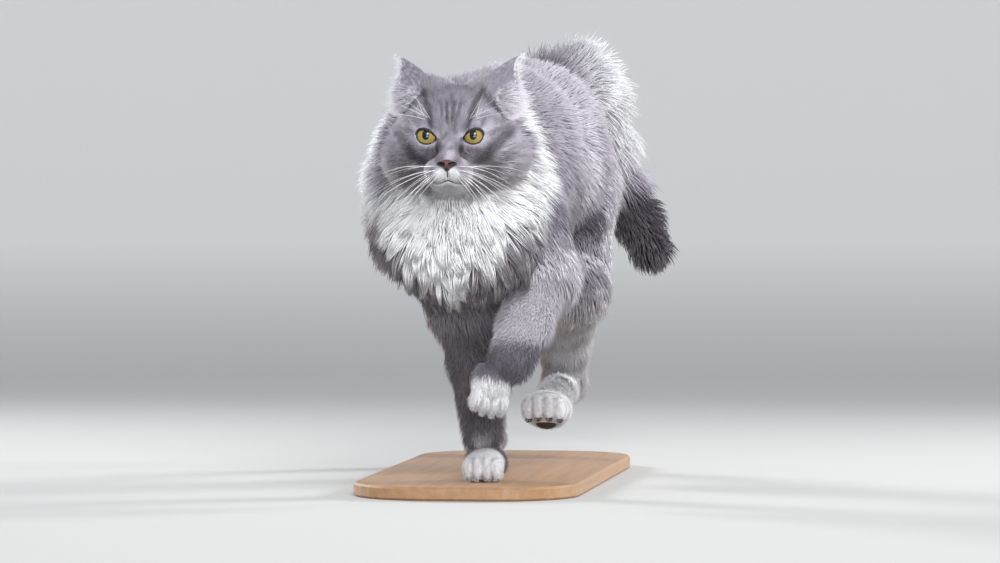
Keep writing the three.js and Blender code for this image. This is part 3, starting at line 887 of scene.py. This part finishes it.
def locks(roots, tips, spacing, pull):
    """Draws the tips together, so that tufts gather in pointed locks."""
    heads = draw.permutation(len(roots))
    tree = KDTree(len(roots))
    for i, p in enumerate(roots.tolist()):
        tree.insert(p, i)
    tree.balance()
    owner = np.full(len(roots), -1)
    for i in heads.tolist():
        if owner[i] >= 0:
            continue
        for _, j, _ in tree.find_range(roots[i], spacing[i]):
            if owner[j] < 0:
                owner[j] = i
    return mix(tips, tips[owner], pull[:, None]), owner


def coat_lines(roots, normals, flow, length, lift, pull, spacing, rings):
    """The curved lines of tufts that rise from the skin and then lie along it."""
    height = (length * lift)[:, None] * MM
    reach = (length * np.sqrt(1 - lift**2))[:, None] * MM
    start = roots - normals * SUNK * MM
    rise = roots + normals * height * 0.85 + flow * reach * 0.3
    tip = roots + normals * height + flow * reach
    tip, owner = locks(roots, tip, spacing * MM, pull)
    t = (np.linspace(0, 1, rings + 1) ** 0.85)[None, :, None]
    a, b, c = start[:, None], rise[:, None], tip[:, None]
    return a * (1 - t) ** 2 + 2 * b * t * (1 - t) + c * t * t, owner


# ---- Finishes ----
def fill(tree, node, given):
    """Links each named input of a node to a socket, or sets it to a value."""
    for key, value in given.items():
        if isinstance(value, bpy.types.NodeSocket):
            tree.links.new(value, node.inputs[key])
        else:
            node.inputs[key].default_value = value


def put(tree, kind, given=None, **settings):
    """The outputs of a new node, whose settings are made before its inputs are filled."""
    node = tree.nodes.new(kind)
    for key, value in settings.items():
        setattr(node, key, value)
    fill(tree, node, given or {})
    return node.outputs


def colour(r, g, b):
    """A colour given as it looks on a screen, from 0 to 255."""
    return (*(((c / 255 + 0.055) / 1.055) ** 2.4 for c in (r, g, b)), 1)


def blend_colours(tree, factor, a, b):
    return put(tree, "ShaderNodeMix", {0: factor, 6: a, 7: b}, data_type="RGBA")[2]


def math_node(tree, operation, *values, clamp=False):
    return put(tree, "ShaderNodeMath", dict(enumerate(values)), operation=operation, use_clamp=clamp)[0]


def own_place(tree):
    return put(tree, "ShaderNodeTexCoord")["Object"]


def grain_of(tree, place, scale, detail, **given):
    """Noise from 0 to 1 over places."""
    given = {"Vector": place, "Scale": scale, "Detail": detail, **given}
    return put(tree, "ShaderNodeTexNoise", given)[0]


def bump_of(tree, height, strength, distance):
    return put(tree, "ShaderNodeBump", {"Height": height, "Strength": strength, "Distance": distance})[0]


def ramp(tree, value, low, high):
    """0 below the low value, rising to 1 at the high one."""
    return put(tree, "ShaderNodeMapRange", {"Value": value, "From Min": low, "From Max": high})[0]


def group_of(name, inputs, outputs):
    """A node group: its tree, what it is given, and the node whose inputs it ends in."""
    tree = bpy.data.node_groups.new(name, "ShaderNodeTree")
    for way, sockets in (("INPUT", inputs), ("OUTPUT", outputs)):
        for socket, kind in sockets.items():
            tree.interface.new_socket(socket, in_out=way, socket_type="NodeSocket" + kind)
    return tree, tree.nodes.new("NodeGroupInput").outputs, tree.nodes.new("NodeGroupOutput")


def finish_of(name, build):
    material = bpy.data.materials.new(name)
    material.use_nodes = True
    build(material.node_tree, material.node_tree.nodes["Principled BSDF"])
    return material


COAT_SHADES = {  # at a tuft's root and at its tip
    "grey": ((124, 119, 132), (170, 165, 178)),
    "slate": ((52, 49, 56), (82, 78, 88)),
    "pale": ((172, 167, 179), (224, 219, 229)),
    "white": ((202, 201, 204), (243, 244, 247)),
}
MARKINGS = ("White", "Pale", "Dark", "Warm")


def coat_colour_group():
    """The coat's colour from its markings, the place along a hair and a random number for each tuft."""
    floats = dict.fromkeys((*MARKINGS, "Along", "Random"), "Float")
    tree, given, ends = group_of("coat_colour", floats, {"Color": "Color"})
    shift = math_node(tree, "MULTIPLY_ADD", given["Random"], 0.44, -0.22)
    speckle = math_node(tree, "MULTIPLY_ADD", grain_of(tree, own_place(tree), 90, 3), 0.4, -0.2)
    dark = math_node(tree, "ADD", given["Dark"], math_node(tree, "ADD", shift, speckle), clamp=True)
    to_tip = math_node(tree, "SMOOTH_MIN", given["Along"], 1.0)
    shades = {
        name: blend_colours(tree, to_tip, colour(*root), colour(*tip))
        for name, (root, tip) in COAT_SHADES.items()
    }
    base = blend_colours(tree, given["Pale"], shades["grey"], shades["pale"])
    base = blend_colours(tree, dark, base, shades["slate"])
    brown = blend_colours(tree, dark, colour(140, 130, 124), colour(78, 71, 66))
    base = blend_colours(tree, math_node(tree, "MULTIPLY", given["Warm"], 0.5), base, brown)
    fill(tree, ends, {"Color": blend_colours(tree, given["White"], base, shades["white"])})
    return tree


def fine_grain_group():
    """A fine mottle over the surface, and the normal of its bumps."""
    floats = dict.fromkeys(("Scale", "Detail", "Strength", "Distance"), "Float")
    tree, given, ends = group_of("fine_grain", floats, {"Mask": "Float", "Normal": "Vector"})
    mask = grain_of(tree, own_place(tree), given["Scale"], given["Detail"])
    fill(tree, ends, {"Mask": mask, "Normal": bump_of(tree, mask, given["Strength"], given["Distance"])})
    return tree


COAT_COLOUR = coat_colour_group()
FINE_GRAIN = fine_grain_group()


def fine_grain(tree, scale, detail, strength, distance):
    given = {"Scale": scale, "Detail": detail, "Strength": strength, "Distance": distance}
    return put(tree, "ShaderNodeGroup", given, node_tree=FINE_GRAIN)


def attribute_of(tree, name):
    return put(tree, "ShaderNodeAttribute", attribute_name=name)["Fac"]


def marked_surface(tree, shader, tuft):
    """The coat's colour, where tuft gives the place along a hair and the tuft's random number."""
    given = {name: attribute_of(tree, name) for name in MARKINGS}
    fill(tree, shader, {
        "Base Color": put(tree, "ShaderNodeGroup", {**given, **tuft}, node_tree=COAT_COLOUR)[0],
        "Roughness": 0.72,
        "Specular IOR Level": 0.3,
        "Sheen Weight": 0.12,
        "Sheen Roughness": 0.5,
    })


def coat_surface(tree, shader):
    marked_surface(tree, shader, {name: attribute_of(tree, name) for name in ("Along", "Random")})


def skin_surface(tree, shader):
    """The coat's own colour, with stubble between the tufts."""
    marked_surface(tree, shader, {"Along": 0.35, "Random": 0.5})
    fill(tree, shader, {"Normal": fine_grain(tree, 900, 4, 0.6, 0.0006)["Normal"]})


COAT_FINISH = finish_of("long_coat", coat_surface)
SKIN_FINISH = finish_of("short_coat", skin_surface)


def plain_finish(name, shade, roughness, strength=0.0, scale=600):
    """A finish of one colour with a darker mottle in it."""
    def build(tree, shader):
        grain = fine_grain(tree, scale, 3, strength, 0.0004)
        darker = (*(c * 0.7 for c in shade[:3]), 1)
        fill(tree, shader, {
            "Base Color": blend_colours(tree, grain["Mask"], darker, shade),
            "Roughness": roughness,
            "Normal": grain["Normal"],
        })

    return finish_of(name, build)


def hand_over(name, mesh, slot, finish, *nodes):
    """Puts a mesh in the scene as a piece, with its finish and the nodes that it stands for; its slot is
    not used.
    """
    piece = new_object(name, mesh)
    mesh.materials.clear()
    mesh.materials.append(finish)
    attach(piece, "root")
    if nodes:
        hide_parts(*nodes)
    return piece


# ---- Making: the skin ----
skin = hand_over("skin", skin_mesh(), "coat_grey", SKIN_FINISH, *FLESH)
skin_points = points_of(skin.data)
skin_parts = shares(skin_points)
skin_marks = marks(skin_points, skin_parts)
for key, value in skin_marks.items():
    store(skin.data, key, value)
skin.data.uv_layers.new(name="OFBake")
bpy.context.view_layer.objects.active = skin
skin.select_set(True)
bpy.ops.object.mode_set(mode="EDIT")
bpy.ops.mesh.select_all(action="SELECT")
bpy.ops.uv.smart_project(angle_limit=math.radians(66), island_margin=0.002)
bpy.ops.object.mode_set(mode="OBJECT")
skin.select_set(False)


# ---- Making: the coat over the skin ----
SLOTS = {"coat_bib": "coat_white", "coat_tail": "coat_dark"}
TAPERS = {1: (1.0,), 2: (0.85, 0.95), 3: (0.75, 1.0, 0.66)}  # a tuft's widths at its bends


def region(group, x, y):
    """The coat piece that a tuft belongs to, by its group and its place."""
    side = "left" if x > -8 else "right"
    if group == "trunk":
        return ("coat_flank_" if y < 150 else "coat_rump_") + side
    if group in ("ruff", "skull"):
        return {"ruff": "coat_ruff_", "skull": "coat_crown_"}[group] + side
    return "coat_" + {"throat": "bib"}.get(group, group.removesuffix("_paw"))


def coat_pieces():
    table = coat_lengths(skin_points, skin_parts)
    corners, loops, weights = scattered(skin.data, table[3])
    map_places = np.empty(len(skin.data.loops) * 2, np.float32)
    skin.data.uv_layers["OFBake"].uv.foreach_get("vector", map_places)
    roots = blended(skin_points, corners, weights)
    normals = unit(blended(normals_of(skin.data), corners, weights))
    places = blended(map_places.reshape(-1, 2), loops, weights)
    names = list(GROUPS)
    parts = {g: blended(skin_parts[g], corners, weights) for g in names}
    main = np.argmax(np.stack([parts[g] for g in names], axis=1), axis=1)
    length, lift, width, _, pull = (blended(column, corners, weights) for column in table)
    values = {key: blended(value, corners, weights) for key, value in skin_marks.items()}
    values["Random"] = draw.random(len(roots))

    cat = in_cat(roots)
    swirl = np.stack([clouds(cat, 42, seed) for seed in (7, 8, 9)], axis=1)
    curl = np.stack([clouds(cat, 15, seed) for seed in (21, 22, 23)], axis=1)
    flow = lie_of(roots, parts) + (0.28 * swirl + 0.2 * curl) * np.minimum(length / 30, 1)[:, None]
    flow = flow + 0.12 * draw.normal(size=flow.shape)
    flow = unit(flow - normals * dot(flow, normals))
    length = length * draw.uniform(0.75, 1.15, len(roots))
    lift = np.clip(lift * draw.uniform(0.7, 1.2, len(roots)), 0.05, 0.9)
    across = np.cross(flow, normals)
    spacing = np.clip(length * mix(0.1, 0.28, pull), 1.0, 12)

    regions = np.array([region(names[m], x, y) for m, (x, y, _) in zip(main.tolist(), cat.tolist())])
    for name in sorted(set(regions.tolist())):
        own = regions == name
        rings = RINGS.get(kind_of(names[main[own][0]]), 1)
        shape = (v[own] for v in (roots, normals, flow, length, lift, pull, spacing))
        lines, owner = coat_lines(*shape, rings)
        widths = width[own][:, None] * np.array(TAPERS[rings]) * MM
        chosen = {key: value[own] for key, value in values.items()}
        chosen["Random"] = mix(chosen["Random"], chosen["Random"][owner], 0.6)
        mesh = blades(name, lines, across[own], widths, places[own], chosen)
        hand_over(name, mesh, SLOTS.get(name, "coat_grey"), COAT_FINISH)


coat_pieces()


# ---- Making: the ears ----
EAR_WIDTH, EAR_DEPTH, EAR_WALL = 40, 38, 1.3
EAR_SUNK = 12  # how far its foot goes into the head
EAR_LOW_RIM = 0.03
EAR_LINES = {  # root and tip
    "right": ((-27, 12, 25), (-52, 20, 70)),
    "left": ((32, 12, 25), (59, 20, 71)),
}


def ear_matrix(name):
    root, tip = (Vector(p) for p in EAR_LINES[name])
    up = (tip - root).normalized()
    back = Vector((-0.82 * SIDES[name], -0.28, 0.5))
    back = (back - up * back.dot(up)).normalized()
    matrix = Matrix((back.cross(up), back, up)).transposed().to_4x4()
    matrix.translation = root
    return HEAD @ matrix, (tip - root).length


def ear_rim(back):
    """The height of the ear's rim, where back is 1 at its back and -1 at its opening."""
    return EAR_LOW_RIM + (1 - EAR_LOW_RIM) * np.maximum((1 + back) / 2, 0) ** 0.75


def ear_mesh(matrix, height):
    """A cup, open at the side, whose rim runs up to a point at the back."""
    bm = turned_form([(1, 0, t / 16) for t in range(17)], 48)
    for v in bm.verts:
        across, back, t = v.co
        up = t * float(ear_rim(back))
        rise = up * height - EAR_SUNK * (1 - t)
        spread = mix(0.5, 1, smooth(-EAR_SUNK, 14, rise)) * (1 - 0.95 * up**2.8)
        fold = 1 + 0.04 * math.sin(across * 7) * up
        v.co = (across * EAR_WIDTH / 2 * spread, back * EAR_DEPTH / 2 * spread * fold, rise)
    bmesh.ops.recalc_face_normals(bm, faces=bm.faces)
    bmesh.ops.solidify(bm, geom=bm.faces[:], thickness=EAR_WALL)
    bmesh.ops.recalc_face_normals(bm, faces=bm.faces)
    bmesh.ops.transform(bm, matrix=matrix, verts=bm.verts)
    return mesh_of(bm, "ear")


def ear_places(local, height):
    """How far back a place on the ear lies, how high, and how much the long fur outside hides it."""
    up = local[:, 2] / height
    back = local[:, 1] / np.maximum(np.hypot(local[:, 0], local[:, 1]), 1e-6)
    return back, up, smooth(0.55, 0.1, back) * smooth(0.12, -0.08, np.clip(up, 0, 1) - 0.43 + 0.3 * back)


def ear_marks(local, height):
    """The ear's markings: a dark middle to its back, painted rim light at the rim, and pale inside."""
    back, up, fringe = ear_places(local, height)
    middle_dark = smooth(-0.2, 0.5, back) * smooth(1.0, 0.6, up) * smooth(0.0, 0.2, up)
    # Painted rim light: white and pale in a thin band along the ear's rim.
    ear_rim_light = smooth(2.6, 1.0, (ear_rim(back) - up) * height)
    return {
        "White": most(0.7 * ear_rim_light, 0.3 * fringe),
        "Pale": most(ear_rim_light, fringe),
        "Dark": middle_dark * 0.25 * (1 - ear_rim_light),
        "Warm": 0 * up,
    }


def make_ear(name):
    matrix, height = ear_matrix(name)
    mesh = ear_mesh(matrix, height)
    points = points_of(mesh)
    normals = normals_of(mesh)
    local = moved(points, matrix.inverted())
    for key, value in ear_marks(local, height).items():
        store(mesh, key, value)
    hand_over("ear_skin_" + name, mesh, "coat_grey", SKIN_FINISH, "ear_" + name)

    outside = smooth(-0.1, 0.3, dot(turned(local * (1, 1, 0), matrix), normals)[:, 0])
    corners, _, weights = scattered(mesh, mix(0.9, 1.5, outside))
    roots = blended(points, corners, weights)
    root_normals = unit(blended(normals, corners, weights))
    root_local = blended(local, corners, weights)
    is_out = blended(outside, corners, weights)
    _, up, fringe = ear_places(root_local, height)
    opening = turned(np.array(((0, -1, 0.1),)), matrix)
    upward = turned(np.array(((0, 0, 1.0),)), matrix)
    outwards = most(1 - is_out, fringe)
    flow = mix(1.0, 0.3, outwards)[:, None] * upward + outwards[:, None] * opening
    flow = flow + mix(0.12, 0.24, outwards)[:, None] * draw.normal(size=roots.shape)
    flow = unit(flow - root_normals * dot(flow, root_normals))
    inner_length = 25 - 19 * np.clip(up, 0, 1)
    length = mix(inner_length, 4.5 + 10 * fringe, is_out) * draw.uniform(0.7, 1.2, len(roots))
    lift = mix(0.5, 0.22 + 0.2 * fringe, is_out)
    pull, spacing = np.full(len(roots), 0.3), np.full(len(roots), 2.0)
    lines, _ = coat_lines(roots, root_normals, flow, length, lift, pull, spacing, 1)
    values = ear_marks(root_local, height)
    values["Pale"] = most(values["Pale"], 1 - is_out)
    values["White"] = most(values["White"], 0.5 * (1 - is_out))
    values["Random"] = draw.random(len(roots))
    widths = mix(0.5, 0.6, is_out)[:, None] * MM
    places = 0.05 + 0.9 * draw.random((len(roots), 2))
    fur = blades("coat_ear_" + name, lines, np.cross(flow, root_normals), widths, places, values)
    hand_over(fur.name, fur, "coat_grey", COAT_FINISH)


for name in SIDES:
    make_ear(name)


# ---- Making: the eyes and their lids ----
PUPIL_WIDE, PUPIL_HIGH, PUPIL_UP = 3.1, 4.3, 1.7
LID_EDGE_RADIUS = 11.7


def oval_of(tree, x, z, wide, high):
    """How far out a place is in an oval, where 1 is its edge."""
    squares = []
    for value, size in ((x, wide), (z, high)):
        squares.append(math_node(tree, "POWER", math_node(tree, "MULTIPLY", value, 1 / size), 2.0))
    return math_node(tree, "SQRT", math_node(tree, "ADD", *squares))


def iris_surface(tree, shader):
    """A gold iris with a dark rim round an upright oval pupil, on the eye's own map."""
    gaze = put(tree, "ShaderNodeUVMap", uv_map="Gaze")[0]
    x, up, _ = put(tree, "ShaderNodeSeparateXYZ", {0: gaze})
    z = math_node(tree, "SUBTRACT", up, PUPIL_UP)
    away = oval_of(tree, x, z, 1, 1)
    pupil = oval_of(tree, x, z, PUPIL_WIDE, PUPIL_HIGH)
    around = math_node(tree, "MULTIPLY", math_node(tree, "ARCTAN2", z, x), 14.0)
    turn = put(tree, "ShaderNodeCombineXYZ", {0: around, 1: math_node(tree, "MULTIPLY", away, 0.35)})[0]
    rays = put(tree, "ShaderNodeTexNoise", {"Vector": turn, "Scale": 1.0}, noise_dimensions="2D")[0]
    gold = blend_colours(tree, rays, colour(112, 95, 42), colour(172, 152, 84))
    iris = blend_colours(tree, ramp(tree, pupil, 1.0, 1.7), colour(136, 128, 68), gold)
    iris = blend_colours(tree, ramp(tree, away, 7.6, 9.0), iris, colour(26, 20, 14))
    lid_shade = math_node(tree, "MULTIPLY", ramp(tree, z, 2.0, 6.5), 0.75)
    iris = blend_colours(tree, lid_shade, iris, colour(30, 26, 10))
    fill(tree, shader, {
        "Base Color": blend_colours(tree, ramp(tree, pupil, 0.96, 1.06), colour(6, 6, 7), iris),
        "Roughness": 0.5,
        "Specular IOR Level": 0.05,
        "Coat Weight": 1.0,
        "Coat Roughness": 0.02,
        "Coat IOR": 1.45,
    })


EYE_FINISH = finish_of("eye_amber", iris_surface)
LID_FINISH = plain_finish("lid_skin", colour(20, 16, 16), 0.6, 0.5)


def eyeball(name, side):
    """A ball with its cornea drawn forward, and a flat map of its front in mm."""
    bm = bmesh.new()
    bmesh.ops.create_uvsphere(bm, u_segments=64, v_segments=40, radius=EYE_RADIUS)
    bmesh.ops.rotate(bm, verts=bm.verts, matrix=Matrix.Rotation(math.radians(90), 3, "X"))
    layer = bm.loops.layers.uv.new("Gaze")
    for face in bm.faces:
        for loop in face.loops:
            loop[layer].uv = (loop.vert.co.x, loop.vert.co.z)
    for v in bm.verts:
        off = math.hypot(v.co.x, v.co.z) / EYE_RADIUS
        if v.co.y < 0:
            v.co.y -= 0.9 * max(0, 1 - (off / 0.75) ** 2)
    bmesh.ops.transform(bm, matrix=HEAD @ Matrix.Translation(eye_centre(side)), verts=bm.verts)
    hand_over("eyeball_" + name, mesh_of(bm, "eyeball"), "eye_amber", EYE_FINISH, "eye_" + name)


def tube(name, path, radii, sides=8, closed=False):
    """A closed tube through places in metres, either round in a ring or with two flat ends."""
    path = np.asarray(path, float)
    last = len(path) - 1
    bm = bmesh.new()
    rings = []
    for i, place in enumerate(path):
        before = path[i - 1 if closed else max(i - 1, 0)]
        after = path[(i + 1) % (last + 1) if closed else min(i + 1, last)]
        turn = Vector(after - before).to_track_quat("Z", "Y").to_matrix().to_4x4()
        matrix = Matrix.Translation(place) @ turn
        ring = bmesh.ops.create_circle(bm, segments=sides, radius=float(radii[i]), matrix=matrix)
        rings.append({e for v in ring["verts"] for e in v.link_edges})
    for a, b in zip(rings, rings[1:] + rings[:1] if closed else rings[1:]):
        bmesh.ops.bridge_loops(bm, edges=list(a | b))
    if not closed:
        bmesh.ops.holes_fill(bm, edges=[e for e in bm.edges if e.is_boundary])
    bmesh.ops.recalc_face_normals(bm, faces=bm.faces)
    return mesh_of(bm, name)


def eyelid(name, side):
    """The dark edge of the lids, which hugs the eyeball."""
    edge = LID_CURVE * (side, 1)
    depth = -np.sqrt(LID_EDGE_RADIUS**2 - (edge**2).sum(1))
    places = eye_centre(side) + np.stack([edge[:, 0], depth, edge[:, 1]], axis=1)
    thick = (0.75 + 0.55 * smooth(0, 5, edge[:, 1])) * MM
    mesh = tube("eyelid", moved(places, HEAD), thick, 10, closed=True)
    hand_over("eyelid_" + name, mesh, "nose_leather", LID_FINISH)


for name, side in SIDES.items():
    eyeball(name, side)
    eyelid(name, side)


# ---- Making: the nose, the mouth line and the whiskers ----
NOSE_UP, NOSE_DOWN = 3.4, 6.6  # its half heights
NOSTRIL_OUT, NOSTRIL_LONG = 2.9, 5.6


def nose_surface(tree, shader):
    pores = put(tree, "ShaderNodeTexVoronoi", {"Vector": own_place(tree), "Scale": 1600})["Distance"]
    shade = attribute_of(tree, "Shade")
    fill(tree, shader, {
        "Base Color": blend_colours(tree, shade, colour(78, 48, 49), colour(10, 8, 10)),
        "Roughness": 0.5,
        "Coat Weight": 0.08,
        "Normal": bump_of(tree, pores, 0.5, 0.0003),
    })


def nostril_at(x, z):
    """1 in a nostril, a comma that thins out sideways, and 0 away from it."""
    along = min(max((abs(x) - NOSTRIL_OUT) / NOSTRIL_LONG, 0), 1)
    off = math.hypot(abs(x) - NOSTRIL_OUT - NOSTRIL_LONG * along, z + 1.3 - 2.0 * along)
    return 1 - smooth(0.5, 1.15, off / mix(1.6, 0.55, along))


def make_nose():
    matrix = HEAD @ Matrix.Translation((0, -65, -18.6)) @ Matrix.Rotation(math.radians(-12), 4, "X")
    bm = bmesh.new()
    bmesh.ops.create_icosphere(bm, subdivisions=6, radius=1)
    shade = bm.verts.layers.float.new("Shade")
    for v in bm.verts:
        x, y, z = v.co
        half_width = mix(8.8, 4.6, smooth(0, 1, z)) if z > 0 else mix(8.8, 3.4, smooth(0, -0.75, z))
        px, pz = x * half_width, z * (NOSE_UP if z > 0 else NOSE_DOWN)
        nostril = nostril_at(px, pz)
        cleft = (1 - smooth(0.1, 0.8, abs(px) / 1.3)) * smooth(1.0, -3, pz)
        v.co = (px, y * 4.6 + smooth(0.1, -0.5, y) * (2.8 * nostril + 0.6 * cleft), pz)
        # The nostrils and the middle cleft are painted near-black, as painted shade in those hollows; the
        # leather is also darker towards its sides and its bottom.
        outer = smooth(3.2, 5.0, abs(px)) * 0.92
        low = smooth(-3.2, -6.0, pz) * 0.9
        v[shade] = float(np.clip(max(nostril * 1.2, outer, low) + 0.35 * cleft, 0, 1))
    bmesh.ops.transform(bm, matrix=matrix, verts=bm.verts)
    finish = finish_of("nose_skin", nose_surface)
    hand_over("nose_leather", mesh_of(bm, "nose_leather"), "nose_leather", finish, "nose")


skin_tree = BVHTree.FromObject(skin, bpy.context.evaluated_depsgraph_get())


def head_way(way):
    return (HEAD.to_3x3() @ Vector(way)).normalized()


def on_face(x, z):
    """The place on the skin in front of a place across and up the face, and the way out there."""
    hit, normal, _, _ = skin_tree.ray_cast(HEAD @ Vector((x, -110, z)), head_way((0, 1, 0)))
    return hit, normal


def rounded(path, steps):
    """Places along a path, with its corners rounded."""
    path = np.array(path, float)
    t = np.linspace(0, len(path) - 1, steps)
    out = np.stack([np.interp(t, np.arange(len(path)), column) for column in path.T], axis=1)
    for _ in range(6):
        out[1:-1] = (out[:-2] + 2 * out[1:-1] + out[2:]) / 4
    return out


def mouth_line(name, path):
    spots = [on_face(x, z) for x, z in rounded(path, 26)]
    places = [hit + normal * 0.15 * MM for hit, normal in spots]
    radii = 0.5 * MM * np.sin(np.linspace(0.12, math.pi - 0.12, len(places))) ** 0.5
    hand_over(name, tube(name, places, radii, 6), "nose_leather", LID_FINISH)


make_nose()
mouth_line("mouth_line", MOUTH)
mouth_line("lip_cleft", [(0, -24), (0, -31)])


def whisker_mesh(name, roots):
    """Whiskers from the face: root across and up, way out across, back and up, length, droop, width."""
    lines, widths, across = [], [], []
    t = np.linspace(0, 1, 13)[:, None]
    for x, z, way, length, droop, width in roots:
        place, normal = on_face(x, z)
        out = np.array(head_way(way))
        line = np.array(place) - out * MM + out * t * length * MM
        line = line + np.array((0, 0, -1)) * droop * length * MM * t**2
        lines.append(line + np.array(normal) * 0.12 * length * MM * (t - t**2))
        widths.append(width * MM * (1 - 0.8 * t[:-1, 0]))
        across.append(np.cross(out, (0, 0, 1)))
    count = len(lines)
    values = {"White": np.ones(count), **{key: np.zeros(count) for key in ("Pale", "Dark", "Warm")}}
    values["Random"] = draw.random(count)
    places = 0.05 + 0.9 * draw.random((count, 2))
    return blades(name, np.array(lines), np.array(across), np.array(widths), places, values, flatness=0.9)


def whiskers():
    """Four rows of four whiskers on each side."""
    roots = []
    for side in SIDES.values():
        for row in range(4):
            for place in range(4):
                x = side * (8.5 + 2.9 * place + draw.uniform(-0.4, 0.4))
                z = -21 - 3.0 * row - 0.3 * place
                slope = 0.06 - 0.3 * row + draw.uniform(-0.08, 0.08)
                way = (side, -0.25 + 0.22 * place, slope)
                length = draw.uniform(50, 72) - 7 * abs(row - 1) - 4 * (3 - place)
                roots.append((x, z, way, length, draw.uniform(0.18, 0.4), 0.4))
    return roots


BROW_WAYS = ((0.55, 1.0), (0.85, 0.8), (1.15, 0.62), (1.3, 0.4), (0.3, 1.0))  # across and up


def brow_whiskers():
    roots = []
    for side in SIDES.values():
        for i, (across, up) in enumerate(BROW_WAYS):
            x, z = side * (16.5 + 1.3 * i), 17.5 + 0.8 * (i % 3)
            roots.append((x, z, (side * across, -0.35, up), draw.uniform(30, 46), 0.12, 0.42))
    return roots


WHISKER_FINISH = plain_finish("whisker_white", colour(250, 249, 250), 0.35)
for name, roots in (("whiskers", whiskers()), ("brow_whiskers", brow_whiskers())):
    hand_over(name, whisker_mesh(name, roots), "whisker", WHISKER_FINISH)


# ---- Making: the pads under the paws ----
PAD_FINISH = plain_finish("pad_skin", colour(40, 37, 43), 0.6, 0.8, scale=900)


def paw_pads(leg):
    """One broad pad and one for each toe, pressed flat where they meet the base."""
    x, y, z = PAWS[leg][2]
    pads = [((0, 0.1 * y, -0.82 * z), (0.44 * x, 0.3 * y, 0.3 * z))]
    for t in TOES:
        pads.append(((t * x, -y * (0.72 - 0.34 * abs(t)), -0.82 * z), (0.17 * x, 0.18 * y, 0.2 * z)))
    bm = bmesh.new()
    for place, radii in pads:
        shape = paw_matrix(leg) @ Matrix.Translation(place) @ Matrix.Diagonal((*radii, 1))
        bmesh.ops.create_icosphere(bm, subdivisions=3, radius=1, matrix=shape)
    floor_level = (CAT @ Vector((0, 0, 0.2))).z
    for v in bm.verts:
        v.co.z = max(v.co.z, floor_level)
    hand_over("pads_" + leg, mesh_of(bm, "pads_" + leg), "paw_pad", PAD_FINISH)


for leg in LEGS:
    paw_pads(leg)


# ---- The display base: a pale wooden board ----
def wood_surface(tree, shader):
    along = put(tree, "ShaderNodeMapping", {"Vector": own_place(tree), "Scale": (1, 0.05, 1)})[0]
    grain = grain_of(tree, along, 150, 5, Distortion=0.4)
    fill(tree, shader, {
        "Base Color": blend_colours(tree, grain, colour(126, 92, 62), colour(172, 134, 96)),
        "Roughness": 0.5,
        "Coat Weight": 0.2,
        "Coat Roughness": 0.3,
        "Normal": bump_of(tree, grain, 0.25, 0.0004),
    })


WOOD = finish_of("base_wood", wood_surface)
for slot in bpy.data.objects["stand_base"].material_slots:
    slot.material = WOOD


# ---- The room: floor, lights and camera ----
FLOOR_LINE = [  # out from the middle, and up
    (0.01, 0), (3, 0), (7.4, 0), (8.4, 0.2), (9.1, 0.7), (9.5, 1.5), (9.6, 2.6), (9.6, 5),
]
CHEST = (0, 0, 0.25)
LIGHTS = {  # place, size, power and spread in degrees
    "key": ((1.0, -2.9, 2.1), 1.4, 86, 180),
    "fill": ((0.9, -3.4, 0.4), 1.6, 56, 180),
    "rim_left": ((2.3, 1.3, 1.0), 0.7, 10, 60),
    "rim_right": ((-2.3, 1.3, 1.0), 0.7, 9, 60),
}


def floor_surface(tree, shader):
    """Pale grey, and painted paler far from the base, as painted light on the far floor and backdrop."""
    away = put(tree, "ShaderNodeVectorMath", {0: own_place(tree)}, operation="LENGTH")["Value"]
    shade = blend_colours(tree, ramp(tree, away, 2, 7), colour(178, 178, 176), colour(236, 236, 235))
    fill(tree, shader, {"Base Color": shade, "Roughness": 0.9})


def make_floor():
    """A pale floor that curves up all round, well away from the base."""
    bm = turned_form([(out, 0, up) for out, up in FLOOR_LINE], 64)
    bmesh.ops.holes_fill(bm, edges=[e for e in bm.edges if e.is_boundary and e.verts[0].co.z < 1])
    bmesh.ops.recalc_face_normals(bm, faces=bm.faces)
    floor = new_object("floor", mesh_of(bm, "floor"))
    round_off = floor.modifiers.new("Round", "SUBSURF")
    round_off.levels = round_off.render_levels = 2
    floor.data.materials.append(finish_of("floor_pale", floor_surface))


def add_light(name, place, size, power, spread):
    lamp = bpy.data.lights.new(name, "AREA")
    lamp.shape = "DISK"
    lamp.size = size
    lamp.energy = power
    lamp.spread = math.radians(spread)
    piece = new_object(name, lamp)
    piece.location = place
    piece.rotation_euler = (Vector(CHEST) - Vector(place)).to_track_quat("-Z", "Y").to_euler()


make_floor()
for name, settings in LIGHTS.items():
    add_light(name, *settings)
world = bpy.data.worlds.new("studio")
bpy.context.scene.world = world
world.use_nodes = True
sky = world.node_tree.nodes["Background"].inputs
sky["Color"].default_value = (0.92, 0.94, 1.0, 1)
sky["Strength"].default_value = 0.8
bpy.context.scene.view_settings.view_transform = "Standard"

TURN, PITCH = math.radians(8), math.radians(-1.87)
lens = bpy.data.cameras.new("camera")
lens.lens = 200
lens.sensor_width = 36
camera = new_object("camera", lens)
camera.location = (0.7063, -5.0049, 0.347)
ahead = Vector((-math.sin(TURN) * math.cos(PITCH), math.cos(TURN) * math.cos(PITCH), math.sin(PITCH)))
camera.rotation_euler = ahead.to_track_quat("-Z", "Y").to_euler()
bpy.context.scene.camera = camera
